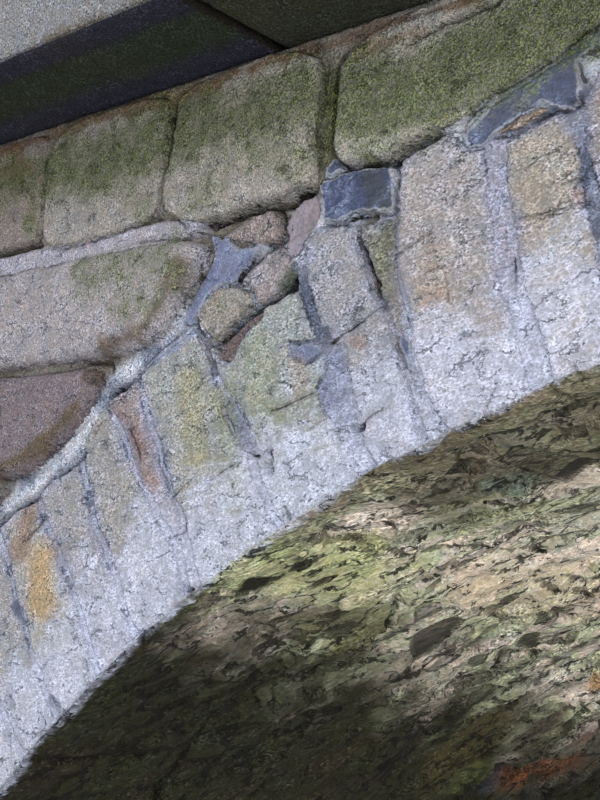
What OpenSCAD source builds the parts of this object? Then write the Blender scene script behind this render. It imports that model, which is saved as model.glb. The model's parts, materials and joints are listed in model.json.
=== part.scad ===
// Small single-span stone arch bridge: a segmental vault of thin radial stones between two
// plain abutments, walled and filled above, with an overhanging slab course and low parapets.
// X runs along the road, Y across it, Z up. The origin is on the ground, under the crown.

/* [Arch] */
// Radius of the underside of the vault
intrados_r = 2600; // [2300:50:3000]
// Depth of the ring of arch stones, measured along the radius
ring_depth = 400; // [340:10:450]
// Angle from the crown to each springing
half_angle = 60; // [54:1:62]
// Height of the springing above the ground
springing_z = 800; // [700:20:1000]
// How far the face stones reach back into the vault
ring_bond = 350; // [250:10:430]
// Mortar joint between two arch stones
ring_joint = 12; // [6:1:20]

/* [Bridge] */
// Width between the two outer wall faces
bridge_w = 3600; // [3200:50:4200]
// Thickness of the side walls over the arch
wall_t = 450; // [400:10:520]
// Thickness of the walls that close the two ends
end_t = 450; // [350:10:550]
// Height from the top of the ring at the crown to the underside of the slab course
crown_cover = 40; // [30:5:80]

/* [Springers] */
// Height of the springer course below the springing
springer_drop = 200; // [150:10:260]
// Length of the springer behind the back of the ring
springer_tail = 110; // [80:10:160]

/* [Slab course] */
// Length of one slab with its joint
slab_pitch = 1310; // [1250:10:1400]
// Open joint between two slabs
slab_joint = 10; // [4:1:16]
// Height of a slab at the wall
slab_h = 180; // [140:10:220]
// Overhang of a slab beyond the wall face
slab_out = 230; // [150:10:280]
// Fall of the top of the overhang towards its edge
slab_fall = 25; // [5:5:40]

/* [Parapet] */
// Thickness of the parapet
parapet_t = 400; // [300:10:440]
// Height of the parapet above the slab course
parapet_h = 760; // [600:20:900]
// Height of a coping stone at its crown
coping_h = 130; // [110:10:180]
// Rise of the rounded top of the coping
coping_rise = 40; // [20:5:60]
// Overhang of the coping on each side of the parapet
coping_out = 40; // [20:5:70]
// Open joint between two coping stones
coping_joint = 8; // [4:1:14]

/* [Roadway] */
// Thickness of the road bed at its edges
road_t = 80; // [60:5:110]
// Rise of the road to its middle line
road_camber = 40; // [20:5:60]
// Height of the slab course above the edge of the road
kerb_h = 40; // [20:5:60]

/* [Hidden] */
$fn = 96;

// Slabs and coping stones along each side
slab_count = 6;
// Widths of the arch stones of one half ring, from the crown down, as degrees of a 60 degree half
stone_widths = [2.5, 2.9, 2.5, 2.6, 2.7, 2.4, 3.3, 1.0, 2.0, 3.9, 3.6, 1.2,
                2.5, 2.3, 2.7, 2.7, 2.7, 2.8, 2.5, 2.8, 2.9, 2.9];
// Half the width of the stone at the crown, on the same scale
crown_half = 2.6;

extrados_r = intrados_r + ring_depth;
centre_z = springing_z - intrados_r * cos(half_angle);
springing_x = intrados_r * sin(half_angle);
abutment_z = springing_z - springer_drop;
springer_top_z = centre_z + extrados_r * cos(half_angle);
springer_x = sqrt(pow(extrados_r, 2) - pow(abutment_z - centre_z, 2)) + springer_tail;
half_len = slab_count * slab_pitch / 2;
half_w = bridge_w / 2;
slab_z = centre_z + extrados_r + crown_cover;
slab_top_z = slab_z + slab_h;
parapet_top_z = slab_top_z + parapet_h;
road_edge_z = slab_top_z - kerb_h;
fill_top_z = road_edge_z - road_t;
half_mortar = 90 / PI * ring_joint / (intrados_r + ring_depth / 2);
stone_scale = half_angle / (crown_half + list_sum(stone_widths, len(stone_widths)));

limestone = [0.62, 0.60, 0.56];
sandstone = [0.58, 0.52, 0.46];
slab_grey = [0.66, 0.66, 0.65];
mossy = [0.40, 0.42, 0.30];
gravel = [0.45, 0.42, 0.38];

function list_sum(list, n) = n == 0 ? 0 : list[n - 1] + list_sum(list, n - 1);

// Angle from the crown to the nth joint of a half ring whose widths start at the given shift
function joint_angle(n, shift) =
    stone_scale * (crown_half + list_sum([for (i = [0 : n - 1]) shifted_width(i, shift)], n));
function shifted_width(i, shift) = stone_widths[(i + shift) % len(stone_widths)];

// A block of the ring between two radii, two angles from the crown and two depths
module ring_block(r0, r1, a0, a1, y0, y1) {
    translate([0, 0, centre_z])
        rotate([90, 0, 0])
            rotate([0, 0, 90 + a0])
                rotate_extrude(angle = a1 - a0)
                    translate([r0, -y1])
                        square([r1 - r0, y1 - y0]);
}

// The face stones of the half ring on the left of the front face
module half_ring(shift) {
    color(limestone)
        for (n = [0 : len(stone_widths) - 1])
            ring_block(intrados_r, extrados_r,
                joint_angle(n, shift) + half_mortar,
                joint_angle(n + 1, shift) - (n + 1 == len(stone_widths) ? 0 : half_mortar),
                -half_w, ring_bond - half_w);
}

module crown_stone() {
    color(limestone)
        ring_block(intrados_r, extrados_r,
            half_mortar - joint_angle(0, 0), joint_angle(0, 0) - half_mortar,
            -half_w, ring_bond - half_w);
}

module barrel() {
    color(mossy)
        ring_block(intrados_r, extrados_r, -half_angle, half_angle,
            ring_bond - half_w, half_w - ring_bond);
}

// An outline in the plane of the wall face, drawn out across the bridge
module across(y0, y1) {
    translate([0, y1, 0])
        rotate([90, 0, 0])
            linear_extrude(height = y1 - y0)
                children();
}

module abutment() {
    color(sandstone)
        across(-half_w, half_w)
            translate([-half_len, 0])
                square([half_len - springing_x, abutment_z]);
}

module springer_outline() {
    polygon([
        [-springing_x, abutment_z],
        [-springing_x, springing_z],
        [-extrados_r * sin(half_angle), springer_top_z],
        [-springer_x, springer_top_z],
        [-springer_x, abutment_z]
    ]);
}

module springer() {
    color(sandstone)
        across(-half_w, half_w)
            springer_outline();
}

// Everything that lies above the abutments and outside the back of the ring
module over_ring_outline(x0, x1, top_z) {
    difference() {
        translate([x0, abutment_z])
            square([x1 - x0, top_z - abutment_z]);
        translate([0, centre_z])
            circle(r = extrados_r);
        for (side = [0, 1])
            mirror([side, 0])
                translate([-springer_x, abutment_z])
                    square([springer_x, springer_top_z - abutment_z]);
    }
}

module spandrel() {
    color(sandstone)
        across(-half_w, wall_t - half_w)
            over_ring_outline(-half_len, 0, slab_z);
}

module end_wall() {
    color(sandstone)
        translate([-half_len, wall_t - half_w, abutment_z])
            cube([end_t, bridge_w - 2 * wall_t, fill_top_z - abutment_z]);
}

module fill() {
    color(gravel)
        across(wall_t - half_w, half_w - wall_t)
            over_ring_outline(end_t - half_len, half_len - end_t, fill_top_z);
}

// An outline across the bridge, drawn out along the road
module along(x0, x1) {
    translate([x0, 0, 0])
        rotate([90, 0, 90])
            linear_extrude(height = x1 - x0)
                children();
}

module roadway() {
    edge_y = half_w - wall_t;
    color(gravel)
        along(-half_len, half_len)
            polygon([
                [-edge_y, fill_top_z],
                [edge_y, fill_top_z],
                [edge_y, road_edge_z],
                [0, road_edge_z + road_camber],
                [-edge_y, road_edge_z]
            ]);
}

// The nth slab of the front overhanging course, from the left
module slab(n) {
    x0 = (n - 1) * slab_pitch - half_len + slab_joint / 2;
    color(slab_grey)
        along(x0, x0 + slab_pitch - slab_joint)
            polygon([
                [-half_w - slab_out, slab_z],
                [wall_t - half_w, slab_z],
                [wall_t - half_w, slab_top_z],
                [-half_w, slab_top_z],
                [-half_w - slab_out, slab_top_z - slab_fall]
            ]);
}

module parapet() {
    color(sandstone)
        translate([-half_len, -half_w, slab_top_z])
            cube([2 * half_len, parapet_t, parapet_h]);
}

// The nth coping stone of the front parapet, from the left, with a rounded top
module coping(n) {
    x0 = (n - 1) * slab_pitch - half_len + coping_joint / 2;
    coping_w = parapet_t + 2 * coping_out;
    top_r = (pow(coping_w / 2, 2) + pow(coping_rise, 2)) / (2 * coping_rise);
    color(slab_grey)
        along(x0, x0 + slab_pitch - coping_joint)
            translate([parapet_t / 2 - half_w, parapet_top_z])
                intersection() {
                    translate([-coping_w / 2, 0])
                        square([coping_w, coping_h]);
                    translate([0, coping_h - top_r])
                        circle(r = top_r);
                }
}

module to_right() {
    mirror([1, 0, 0]) children();
}

module to_back() {
    mirror([0, 1, 0]) children();
}

abutment();  // abutment_left
to_right() abutment();  // abutment_right
springer();  // springer_left
to_right() springer();  // springer_right
barrel();
half_ring(0);  // front_ring_left
crown_stone();  // front_crown_stone
to_right() half_ring(5);  // front_ring_right
to_back() half_ring(9);  // back_ring_left
to_back() crown_stone();  // back_crown_stone
to_back() to_right() half_ring(14);  // back_ring_right
spandrel();  // front_spandrel_left
to_right() spandrel();  // front_spandrel_right
to_back() spandrel();  // back_spandrel_left
to_back() to_right() spandrel();  // back_spandrel_right
end_wall();  // end_wall_left
to_right() end_wall();  // end_wall_right
fill();
roadway();
parapet();  // front_parapet
to_back() parapet();  // back_parapet
for (n = [1 : slab_count]) {
    slab(n);
    to_back() slab(n);
    coping(n);
    to_back() coping(n);
}
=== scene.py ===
import json
import math

import bpy
import numpy as np
from mathutils import Matrix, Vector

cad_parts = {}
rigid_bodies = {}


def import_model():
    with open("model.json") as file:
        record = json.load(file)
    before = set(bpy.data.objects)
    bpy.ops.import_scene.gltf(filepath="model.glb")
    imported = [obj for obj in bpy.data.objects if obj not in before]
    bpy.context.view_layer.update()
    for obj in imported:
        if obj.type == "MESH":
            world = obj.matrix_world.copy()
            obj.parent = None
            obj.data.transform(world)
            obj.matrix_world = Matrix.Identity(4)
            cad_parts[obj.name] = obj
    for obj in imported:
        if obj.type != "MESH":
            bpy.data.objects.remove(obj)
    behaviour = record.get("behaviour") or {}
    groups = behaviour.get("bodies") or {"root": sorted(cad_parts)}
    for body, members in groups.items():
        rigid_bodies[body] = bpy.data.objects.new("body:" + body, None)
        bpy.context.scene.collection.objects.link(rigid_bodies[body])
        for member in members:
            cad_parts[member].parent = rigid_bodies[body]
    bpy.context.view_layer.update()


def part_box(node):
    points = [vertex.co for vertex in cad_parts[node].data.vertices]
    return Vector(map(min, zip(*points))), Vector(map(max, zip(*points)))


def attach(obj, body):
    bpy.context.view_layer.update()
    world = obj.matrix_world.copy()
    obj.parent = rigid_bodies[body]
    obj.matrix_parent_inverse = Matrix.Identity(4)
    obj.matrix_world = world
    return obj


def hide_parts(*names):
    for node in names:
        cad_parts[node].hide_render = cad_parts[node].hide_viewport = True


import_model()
print("stage: frame loaded")


# Small helpers for colour, noise and measuring

def seen(red, green, blue):
    # a colour as the eye reads it, 0 to 255, turned linear
    parts = [c / 255 for c in (red, green, blue)]
    return tuple(c / 12.92 if c < 0.04045 else ((c + 0.055) / 1.055) ** 2.4 for c in parts)


def ease(values, low, high):
    t = np.clip((values - low) / (high - low), 0.0, 1.0)
    return t * t * (3.0 - 2.0 * t)


def blend(base, top, mask):
    # lays one colour or value over another, by a mask from 0 to 1
    mask = mask[:, None] if np.ndim(base) == 2 else mask
    return base * (1.0 - mask) + np.asarray(top) * mask


def cornerValue(ix, iy, iz, seed):
    h = (ix * 374761393 + iy * 668265263 + iz * 1442695041 + seed * 1013904223) & 0xFFFFFFFF
    h = ((h ^ (h >> 13)) * 1274126177) & 0xFFFFFFFF
    h = ((h ^ (h >> 15)) * 2246822519) & 0xFFFFFFFF
    return ((h >> 8) & 0xFFFF) / 32767.5 - 1.0


def noise(points, size, seed, octaves=3, gain=0.5):
    # soft lumps of about the given size, from -1 to 1
    total = np.zeros(len(points))
    weight = 1.0
    reach = 0.0
    spot = points / size
    for octave in range(octaves):
        cell = np.floor(spot).astype(np.int64)
        part = spot - cell
        part = part * part * part * (part * (part * 6 - 15) + 10)
        value = 0.0
        for dx in (0, 1):
            for dy in (0, 1):
                for dz in (0, 1):
                    share = ((part[:, 0] if dx else 1 - part[:, 0])
                             * (part[:, 1] if dy else 1 - part[:, 1])
                             * (part[:, 2] if dz else 1 - part[:, 2]))
                    value = value + share * cornerValue(cell[:, 0] + dx, cell[:, 1] + dy,
                                                        cell[:, 2] + dz, seed + octave * 7)
        total += value * weight
        reach += weight
        weight *= gain
        spot = spot[:, [1, 2, 0]] * 2.03 + 11.7
    return total / reach * 1.6


def flat(x, z, depth=0.0):
    return np.stack([x, np.full_like(x, depth), z], axis=1)


def farFrom(x, z, line):
    # distance to an open line of points
    best = np.full(x.shape, 1e9)
    for (ax, az), (bx, bz) in zip(line[:-1], line[1:]):
        ex, ez = bx - ax, bz - az
        t = np.clip(((x - ax) * ex + (z - az) * ez) / (ex * ex + ez * ez + 1e-12), 0, 1)
        best = np.minimum(best, (x - ax - t * ex) ** 2 + (z - az - t * ez) ** 2)
    return np.sqrt(best)


def besideOf(x, z, line):
    # distance to an open line with the side as its sign, and how far past its ends a point is
    best = np.full(x.shape, 1e9)
    side = np.ones(x.shape)
    past = np.zeros(x.shape)
    last = len(line) - 2
    for n, ((ax, az), (bx, bz)) in enumerate(zip(line[:-1], line[1:])):
        ex, ez = bx - ax, bz - az
        length = math.hypot(ex, ez)
        free = ((x - ax) * ex + (z - az) * ez) / length ** 2
        t = np.clip(free, 0, 1)
        away = (x - ax - t * ex) ** 2 + (z - az - t * ez) ** 2
        closer = away < best
        best = np.where(closer, away, best)
        side = np.where(closer, np.where(ex * (z - az) > ez * (x - ax), 1.0, -1.0), side)
        beyond = np.maximum(-free if n == 0 else 0.0, free - 1 if n == last else 0.0) * length
        past = np.where(closer, np.maximum(beyond, 0), past)
    return np.sqrt(best) * side, past


def noCracks(count):
    return {"gap": np.full(count, 1e9), "crack": np.full(count, 6.0), "crackDark": np.zeros(count)}


def addCrack(kept, spot, away, half, dark):
    # keeps the nearest crack at each point: which side of it, in half widths, and how dark
    gap = np.abs(away) - half
    nearer = gap < kept["gap"][spot]
    chosen = spot[nearer]
    kept["gap"][chosen] = gap[nearer]
    kept["crack"][chosen] = np.clip(away / half, -6, 6)[nearer]
    kept["crackDark"][chosen] = (dark * (1 - ease(gap, 0.004, 0.010)))[nearer]


def insideOf(x, z, outline):
    # distance to a closed outline, positive inside it
    closed = list(outline) + [outline[0]]
    inside = np.zeros(x.shape, bool)
    for (ax, az), (bx, bz) in zip(closed[:-1], closed[1:]):
        if az == bz:
            continue
        crosses = (az > z) != (bz > z)
        inside ^= crosses & (x < ax + (z - az) * (bx - ax) / (bz - az))
    return np.where(inside, 1.0, -1.0) * farFrom(x, z, closed)


def softened(outline, passes=2):
    # cuts the corners of an outline, as worn stone has them
    points = np.array(outline, float)
    for _ in range(passes):
        after = np.roll(points, -1, axis=0)
        points = np.stack([points * 0.8 + after * 0.2, points * 0.2 + after * 0.8], 1)
        points = points.reshape(-1, 2)
    return [tuple(p) for p in points]


def ruler(marks):
    # lines at a chosen spacing between marks: (start, spacing), ..., (end, None)
    out = []
    for (start, gap), (end, _) in zip(marks[:-1], marks[1:]):
        count = max(1, round((end - start) / gap))
        out += list(np.linspace(start, end, count, endpoint=False))
    return np.array(out + [marks[-1][0]])


# Sizes that every piece shares

bridge = {
    "innerRadius": 2.6,
    "ringDepth": 0.4,
    "halfAngle": 60.0,
    "arrisRound": 0.018,
    "stoneWidths": [2.5, 2.9, 2.5, 2.6, 2.7, 2.4, 3.3, 1.0, 2.0, 3.9, 3.6, 1.2,
                    2.5, 2.3, 2.7, 2.7, 2.7, 2.8, 2.5, 2.8, 2.9, 2.9],
    "crownHalf": 2.6,
}
innerRadius = bridge["innerRadius"]
outerRadius = innerRadius + bridge["ringDepth"]
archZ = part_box("barrel")[1][2] - outerRadius      # height of the arch centre, below the ground
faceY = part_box("front_spandrel_left")[0][1]       # the front wall face
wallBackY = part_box("front_spandrel_left")[1][1]
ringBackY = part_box("front_ring_left")[1][1]
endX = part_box("front_spandrel_left")[0][0]        # the left end of the bridge
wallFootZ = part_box("front_spandrel_left")[0][2]
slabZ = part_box("front_slab_1")[0][2]
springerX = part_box("springer_left")[0][0]
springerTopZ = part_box("springer_left")[1][2]
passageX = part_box("abutment_left")[1][0]


# Node tree helpers

def addNode(tree, kind, plugs=None, **settings):
    # plugs are linked where they are sockets, and set where they are values
    node = tree.nodes.new(kind)
    for key, value in settings.items():
        setattr(node, key, value)
    for key, value in (plugs or {}).items():
        if isinstance(value, bpy.types.NodeSocket):
            tree.links.new(value, node.inputs[key])
        else:
            node.inputs[key].default_value = value
    return node


def treeOf(values):
    # the tree that the first socket among some values lies in
    for value in values:
        if isinstance(value, tuple):
            value = value[0]
        if isinstance(value, bpy.types.NodeSocket):
            return value.id_data


def calc(operation, *values, clamp=False):
    return addNode(treeOf(values), "ShaderNodeMath", dict(enumerate(values)), operation=operation,
                   use_clamp=clamp).outputs[0]


def vectorCalc(operation, first, second):
    key = "Scale" if operation == "SCALE" else 1
    return addNode(treeOf((first, second)), "ShaderNodeVectorMath", {0: first, key: second},
                   operation=operation).outputs["Vector"]


def addSocket(tree, name, kind, side="INPUT", value=None):
    socket = tree.interface.new_socket(name=name, in_out=side, socket_type=kind)
    if value is not None:
        socket.default_value = value
    return socket


def newTree(name, numbers):
    # a geometry tree with its numbers and a material as inputs
    tree = bpy.data.node_groups.new(name, "GeometryNodeTree")
    addSocket(tree, "Geometry", "NodeSocketGeometry")
    for label, value in numbers.items():
        kind = "NodeSocketInt" if isinstance(value, int) else "NodeSocketFloat"
        addSocket(tree, label, kind, value=value)
    addSocket(tree, "Material", "NodeSocketMaterial")
    addSocket(tree, "Geometry", "NodeSocketGeometry", side="OUTPUT")
    return tree, addNode(tree, "NodeGroupInput").outputs


def endTree(tree, into, geometry):
    # makes plain mesh of the geometry, in the chosen material
    whole = addNode(tree, "GeometryNodeRealizeInstances", {"Geometry": geometry})
    dressed = addNode(tree, "GeometryNodeSetMaterial",
                      {"Geometry": whole.outputs[0], "Material": into["Material"]})
    addNode(tree, "NodeGroupOutput", {0: dressed.outputs[0]})
    return tree


def runTree(target, tree, values):
    # applies a geometry tree and keeps its result as the object's plain mesh
    modifier = target.modifiers.new(tree.name, "NODES")
    modifier.node_group = tree
    for item in tree.interface.items_tree:
        if item.item_type == "SOCKET" and item.in_out == "INPUT" and item.name in values:
            modifier[item.identifier] = values[item.name]
    target.update_tag()
    graph = bpy.context.evaluated_depsgraph_get()
    result = bpy.data.meshes.new_from_object(target.evaluated_get(graph),
                                             preserve_all_data_layers=True, depsgraph=graph)
    target.modifiers.clear()
    old = target.data
    target.data = result
    bpy.data.meshes.remove(old)
    result.name = target.name
    return target


def buildReliefTree():
    # turns the layout of a masonry face into worn stones, mortar, cracks and grain
    tree, into = newTree("stoneRelief", {"Lump Size": 0.06, "Lump Height": 0.006,
                                         "Grain Size": 0.012, "Grain Height": 0.0015,
                                         "Chip Size": 0.03, "Edge Chips": 0.006, "Seed": 1.0})

    def attribute(name, kind="FLOAT"):
        node = addNode(tree, "GeometryNodeInputNamedAttribute", {"Name": name}, data_type=kind)
        return node.outputs["Attribute"]

    place = addNode(tree, "GeometryNodeInputPosition").outputs[0]
    shift = addNode(tree, "ShaderNodeCombineXYZ",
                    {"X": calc("MULTIPLY", into["Seed"], 3.7),
                     "Y": calc("MULTIPLY", into["Seed"], 1.9)}).outputs[0]
    spot = vectorCalc("ADD", place, shift)

    def lumps(size, detail, roughness):
        node = addNode(tree, "ShaderNodeTexNoise",
                       {"Vector": spot, "Scale": calc("DIVIDE", 1.0, size), "Detail": detail,
                        "Roughness": roughness})
        return calc("SUBTRACT", node.outputs[0], 0.5)

    big = calc("MULTIPLY", lumps(into["Lump Size"], 3.0, 0.55), into["Lump Height"])
    fine = calc("MULTIPLY", lumps(into["Grain Size"], 3.0, 0.6), into["Grain Height"])
    chips = calc("MULTIPLY", lumps(into["Chip Size"], 4.0, 0.6), into["Edge Chips"])
    edge = calc("ADD", attribute("edge"), chips)
    share = calc("DIVIDE", edge, attribute("round"), clamp=True)
    open_ = calc("SUBTRACT", 1.0, share)
    pillow = calc("SQRT", calc("SUBTRACT", 1.0, calc("MULTIPLY", open_, open_)))
    bed = attribute("bed")
    rise = calc("MULTIPLY", calc("SUBTRACT", attribute("face"), bed), pillow)
    rough = calc("MULTIPLY", calc("ADD", calc("MULTIPLY", big, 2.0), calc("MULTIPLY", fine, 2.0)),
                 attribute("rough"))
    height = calc("SUBTRACT", calc("ADD", calc("ADD", bed, rise), rough), attribute("groove"))
    moved = addNode(tree, "GeometryNodeSetPosition",
                    {"Geometry": into["Geometry"],
                     "Offset": vectorCalc("SCALE", attribute("outward", "FLOAT_VECTOR"),
                                          height)})
    marked = addNode(tree, "GeometryNodeStoreNamedAttribute",
                     {"Geometry": moved.outputs[0], "Name": "stoneEdge", "Value": edge},
                     data_type="FLOAT", domain="POINT")
    smooth = addNode(tree, "GeometryNodeSetShadeSmooth", {"Geometry": marked.outputs[0]})
    return endTree(tree, into, smooth.outputs[0])


reliefTree = buildReliefTree()
shapeOnly = ("outward", "edge", "face", "bed", "round", "rough", "groove")


# Mesh helpers: sheets of masonry that are closed behind

def gridFaces(rows, columns, wrapColumns=False):
    index = np.arange(rows * columns).reshape(rows, columns)
    if wrapColumns:
        index = np.concatenate([index, index[:, :1]], axis=1)
    return np.stack([index[:-1, :-1], index[:-1, 1:], index[1:, 1:], index[1:, :-1]],
                    -1).reshape(-1, 4)


def placed(name, data):
    # a new object in the scene
    made = bpy.data.objects.new(name, data)
    bpy.context.collection.objects.link(made)
    return made


def meshObject(name, points, faces, fields):
    # faces is a list of arrays, each with its own number of corners, and fields are the
    # attributes, each one value for all points or a value a point
    mesh = bpy.data.meshes.new(name)
    fields.setdefault("mortar", fields["tint"] * 0.8)
    loops = np.concatenate([np.asarray(f).reshape(-1) for f in faces])
    sizes = np.concatenate([np.full(len(f), np.asarray(f).shape[1]) for f in faces])
    mesh.vertices.add(len(points))
    mesh.vertices.foreach_set("co", np.asarray(points, np.float32).reshape(-1))
    mesh.loops.add(len(loops))
    mesh.loops.foreach_set("vertex_index", loops.astype(np.int32))
    mesh.polygons.add(len(sizes))
    starts = np.concatenate([[0], np.cumsum(sizes)[:-1]])
    mesh.polygons.foreach_set("loop_start", starts.astype(np.int32))
    for key, value in fields.items():
        value = np.asarray(value, np.float32)
        if value.ndim == 0:
            value = np.full(len(points), value)
        if len(value) < len(points):            # hidden back points take zeros
            extra = np.zeros((len(points) - len(value),) + value.shape[1:], np.float32)
            value = np.concatenate([value, extra])
        if value.ndim == 1:
            mesh.attributes.new(key, "FLOAT", "POINT").data.foreach_set("value", value)
        elif key in ("tint", "mortar"):
            rgba = np.concatenate([value, np.ones((len(value), 1), np.float32)], axis=1)
            layer = mesh.attributes.new(key, "FLOAT_COLOR", "POINT")
            layer.data.foreach_set("color", rgba.reshape(-1))
        else:
            layer = mesh.attributes.new(key, "FLOAT_VECTOR", "POINT")
            layer.data.foreach_set("vector", value.reshape(-1))
    mesh.update(calc_edges=True)
    mesh.validate()
    return placed(name, mesh)


def facesInward(points, faces, outward):
    # whether the faces point against the given outward directions
    corners = points[faces[:, :3]]
    normals = np.cross(corners[:, 1] - corners[:, 0], corners[:, 2] - corners[:, 0])
    return np.sum(normals * outward[faces[:, 0]]) < 0


def finishPiece(made, material, nodes, shape):
    runTree(made, reliefTree, {**shape, "Material": material})
    for key in shapeOnly:
        layer = made.data.attributes.get(key)
        if layer is not None:
            made.data.attributes.remove(layer)
    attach(made, "root")
    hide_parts(*nodes)
    return made


def orient(points, outward, across, along):
    # moves the front left quarter to the quarter asked for
    turn = np.array([-1.0 if across else 1.0, -1.0 if along else 1.0, 1.0])
    return points * turn, outward * turn


def sweptObject(name, points, outward, fields, rows, columns):
    # rows of closed loops, shut by one long face at each end
    quads = gridFaces(rows, columns, wrapColumns=True)
    if facesInward(points, quads, outward):
        quads = quads[:, ::-1]
        first = np.arange(columns)
        last = (rows - 1) * columns + np.arange(columns)[::-1]
    else:
        first = np.arange(columns)[::-1]
        last = (rows - 1) * columns + np.arange(columns)
    return meshObject(name, points, [quads, first[None, :], last[None, :]],
                      {**fields, "outward": outward})


def clippedGrid(a, b, inside):
    # a grid of lines a by b, cut along inside(x, z) = 0 by moving its nearest points onto the cut
    rows, columns = len(a), len(b)
    x, z = np.meshgrid(a, b, indexing="ij")
    level = inside(x, z)
    best = np.full(x.shape, 2.0)
    newX, newZ = x.copy(), z.copy()
    on = np.zeros(x.shape, bool)
    for axis in (0, 1):
        lower = (slice(None, -1), slice(None)) if axis == 0 else (slice(None), slice(None, -1))
        upper = (slice(1, None), slice(None)) if axis == 0 else (slice(None), slice(1, None))
        f0, f1 = level[lower], level[upper]
        crosses = (f0 > 0) != (f1 > 0)
        low = np.zeros_like(f0)
        high = np.ones_like(f0)
        for _ in range(24):                     # the crossing is found by halving
            mid = (low + high) / 2
            value = inside(x[lower] + (x[upper] - x[lower]) * mid,
                           z[lower] + (z[upper] - z[lower]) * mid)
            same = (value > 0) == (f0 > 0)
            low = np.where(same, mid, low)
            high = np.where(same, high, mid)
        t = (low + high) / 2
        crossX = x[lower] + (x[upper] - x[lower]) * t
        crossZ = z[lower] + (z[upper] - z[lower]) * t
        for part, share in ((lower, t), (upper, 1 - t)):
            take = crosses & (share <= 0.5) & (share < best[part])
            for target, value in ((best, share), (newX, crossX), (newZ, crossZ)):
                view = target[part]
                view[take] = value[take]
            view = on[part]
            view[take] = True
    keep = on | (level > 0)
    quads = gridFaces(rows, columns)
    count = keep.reshape(-1)[quads].sum(axis=1)
    whole = quads[count == 4]
    three = quads[count == 3]
    kept = keep.reshape(-1)[three]
    triangles = three[kept].reshape(-1, 3)
    used = np.unique(np.concatenate([whole.reshape(-1), triangles.reshape(-1)]))
    renumber = np.full(rows * columns, -1)
    renumber[used] = np.arange(len(used))
    return newX.reshape(-1)[used], newZ.reshape(-1)[used], renumber[whole], renumber[triangles]


def closedSheet(name, points, outward, quads, triangles, fields, backOf, sideOf):
    # adds walls from the open edges back to a flat back, one long face where a side is flat
    if facesInward(points, quads, outward):
        quads, triangles = quads[:, ::-1], triangles[:, ::-1]
    edges = np.concatenate([np.stack([f, np.roll(f, -1, axis=1)], -1).reshape(-1, 2)
                            for f in (quads, triangles) if len(f)]).astype(np.int64)
    total = len(points)
    rim = edges[~np.isin(edges[:, 0] * total + edges[:, 1], edges[:, 1] * total + edges[:, 0])]
    following = {int(a): int(b) for a, b in rim}
    loop = [int(rim[0, 0])]
    while following[loop[-1]] != loop[0]:
        loop.append(following[loop[-1]])
    loop = np.array(loop)
    side = sideOf(points[loop])
    flatEdge = (side != 0) & (side == np.roll(side, -1))
    start = int(np.argmax(~flatEdge)) + 1
    loop, flatEdge = np.roll(loop, -start), np.roll(flatEdge, -start)
    count = len(loop)
    extra = []
    mate = {}
    for own, far in zip(loop, backOf(points[loop])):
        mate[own] = own
        if np.linalg.norm(points[own] - far) > 1e-6:
            mate[own] = total + len(extra)
            extra.append(far)

    def behind(corner):
        return [mate[corner]] if mate[corner] != corner else []

    added = []
    backLoop = []
    k = 0
    while k < count:
        last = k + 1
        while flatEdge[k] and last < count and flatEdge[last]:
            last += 1
        run = [int(loop[n % count]) for n in range(k, last + 1)]
        backLoop.append(mate[run[0]])
        face = run[::-1] + behind(run[0]) + behind(run[-1])
        if len(face) > 2 and len(face) > len(run):
            added.append(face)
        k = last
    added.append(backLoop[::-1])
    used = sorted({v for face in added for v in face if v >= total})
    renumber = {v: total + n for n, v in enumerate(used)}
    if used:
        points = np.concatenate([points, np.array([extra[v - total] for v in used])])
    faces = [quads] + ([triangles] if len(triangles) else [])
    faces += [np.array([[renumber.get(v, v) for v in face]]) for face in added]
    return meshObject(name, points, faces, {**fields, "outward": outward})


print("stage: helpers ready")


def placesOf(values, step=0.001, corner=(0.0, 0.0)):
    # a run of readings as points in metres
    return [(corner[0] + a * step, corner[1] + b * step) for a, b in zip(values[::2], values[1::2])]


def hewn(face, worn, tint, outline, **more):
    # a measured stone: how far it stands out of the wall, how wide its rounded edge is, and
    # where it has them, how often its corners are cut and how slaty or smooth it is
    return {"face": face, "worn": worn, "tint": seen(*tint), "outline": placesOf(outline), **more}


def joint(width, tone, line):
    return {"width": width, "tone": tone, "line": placesOf(line)}


# The stones of the left haunch, as measured in millimetres: x along the bridge, then height
# above the arch centre, point after point

beige = seen(156, 148, 141)
slate = seen(104, 112, 134)
paleMortar = seen(172, 178, 204)
bedMortar = seen(190, 188, 204)

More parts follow.
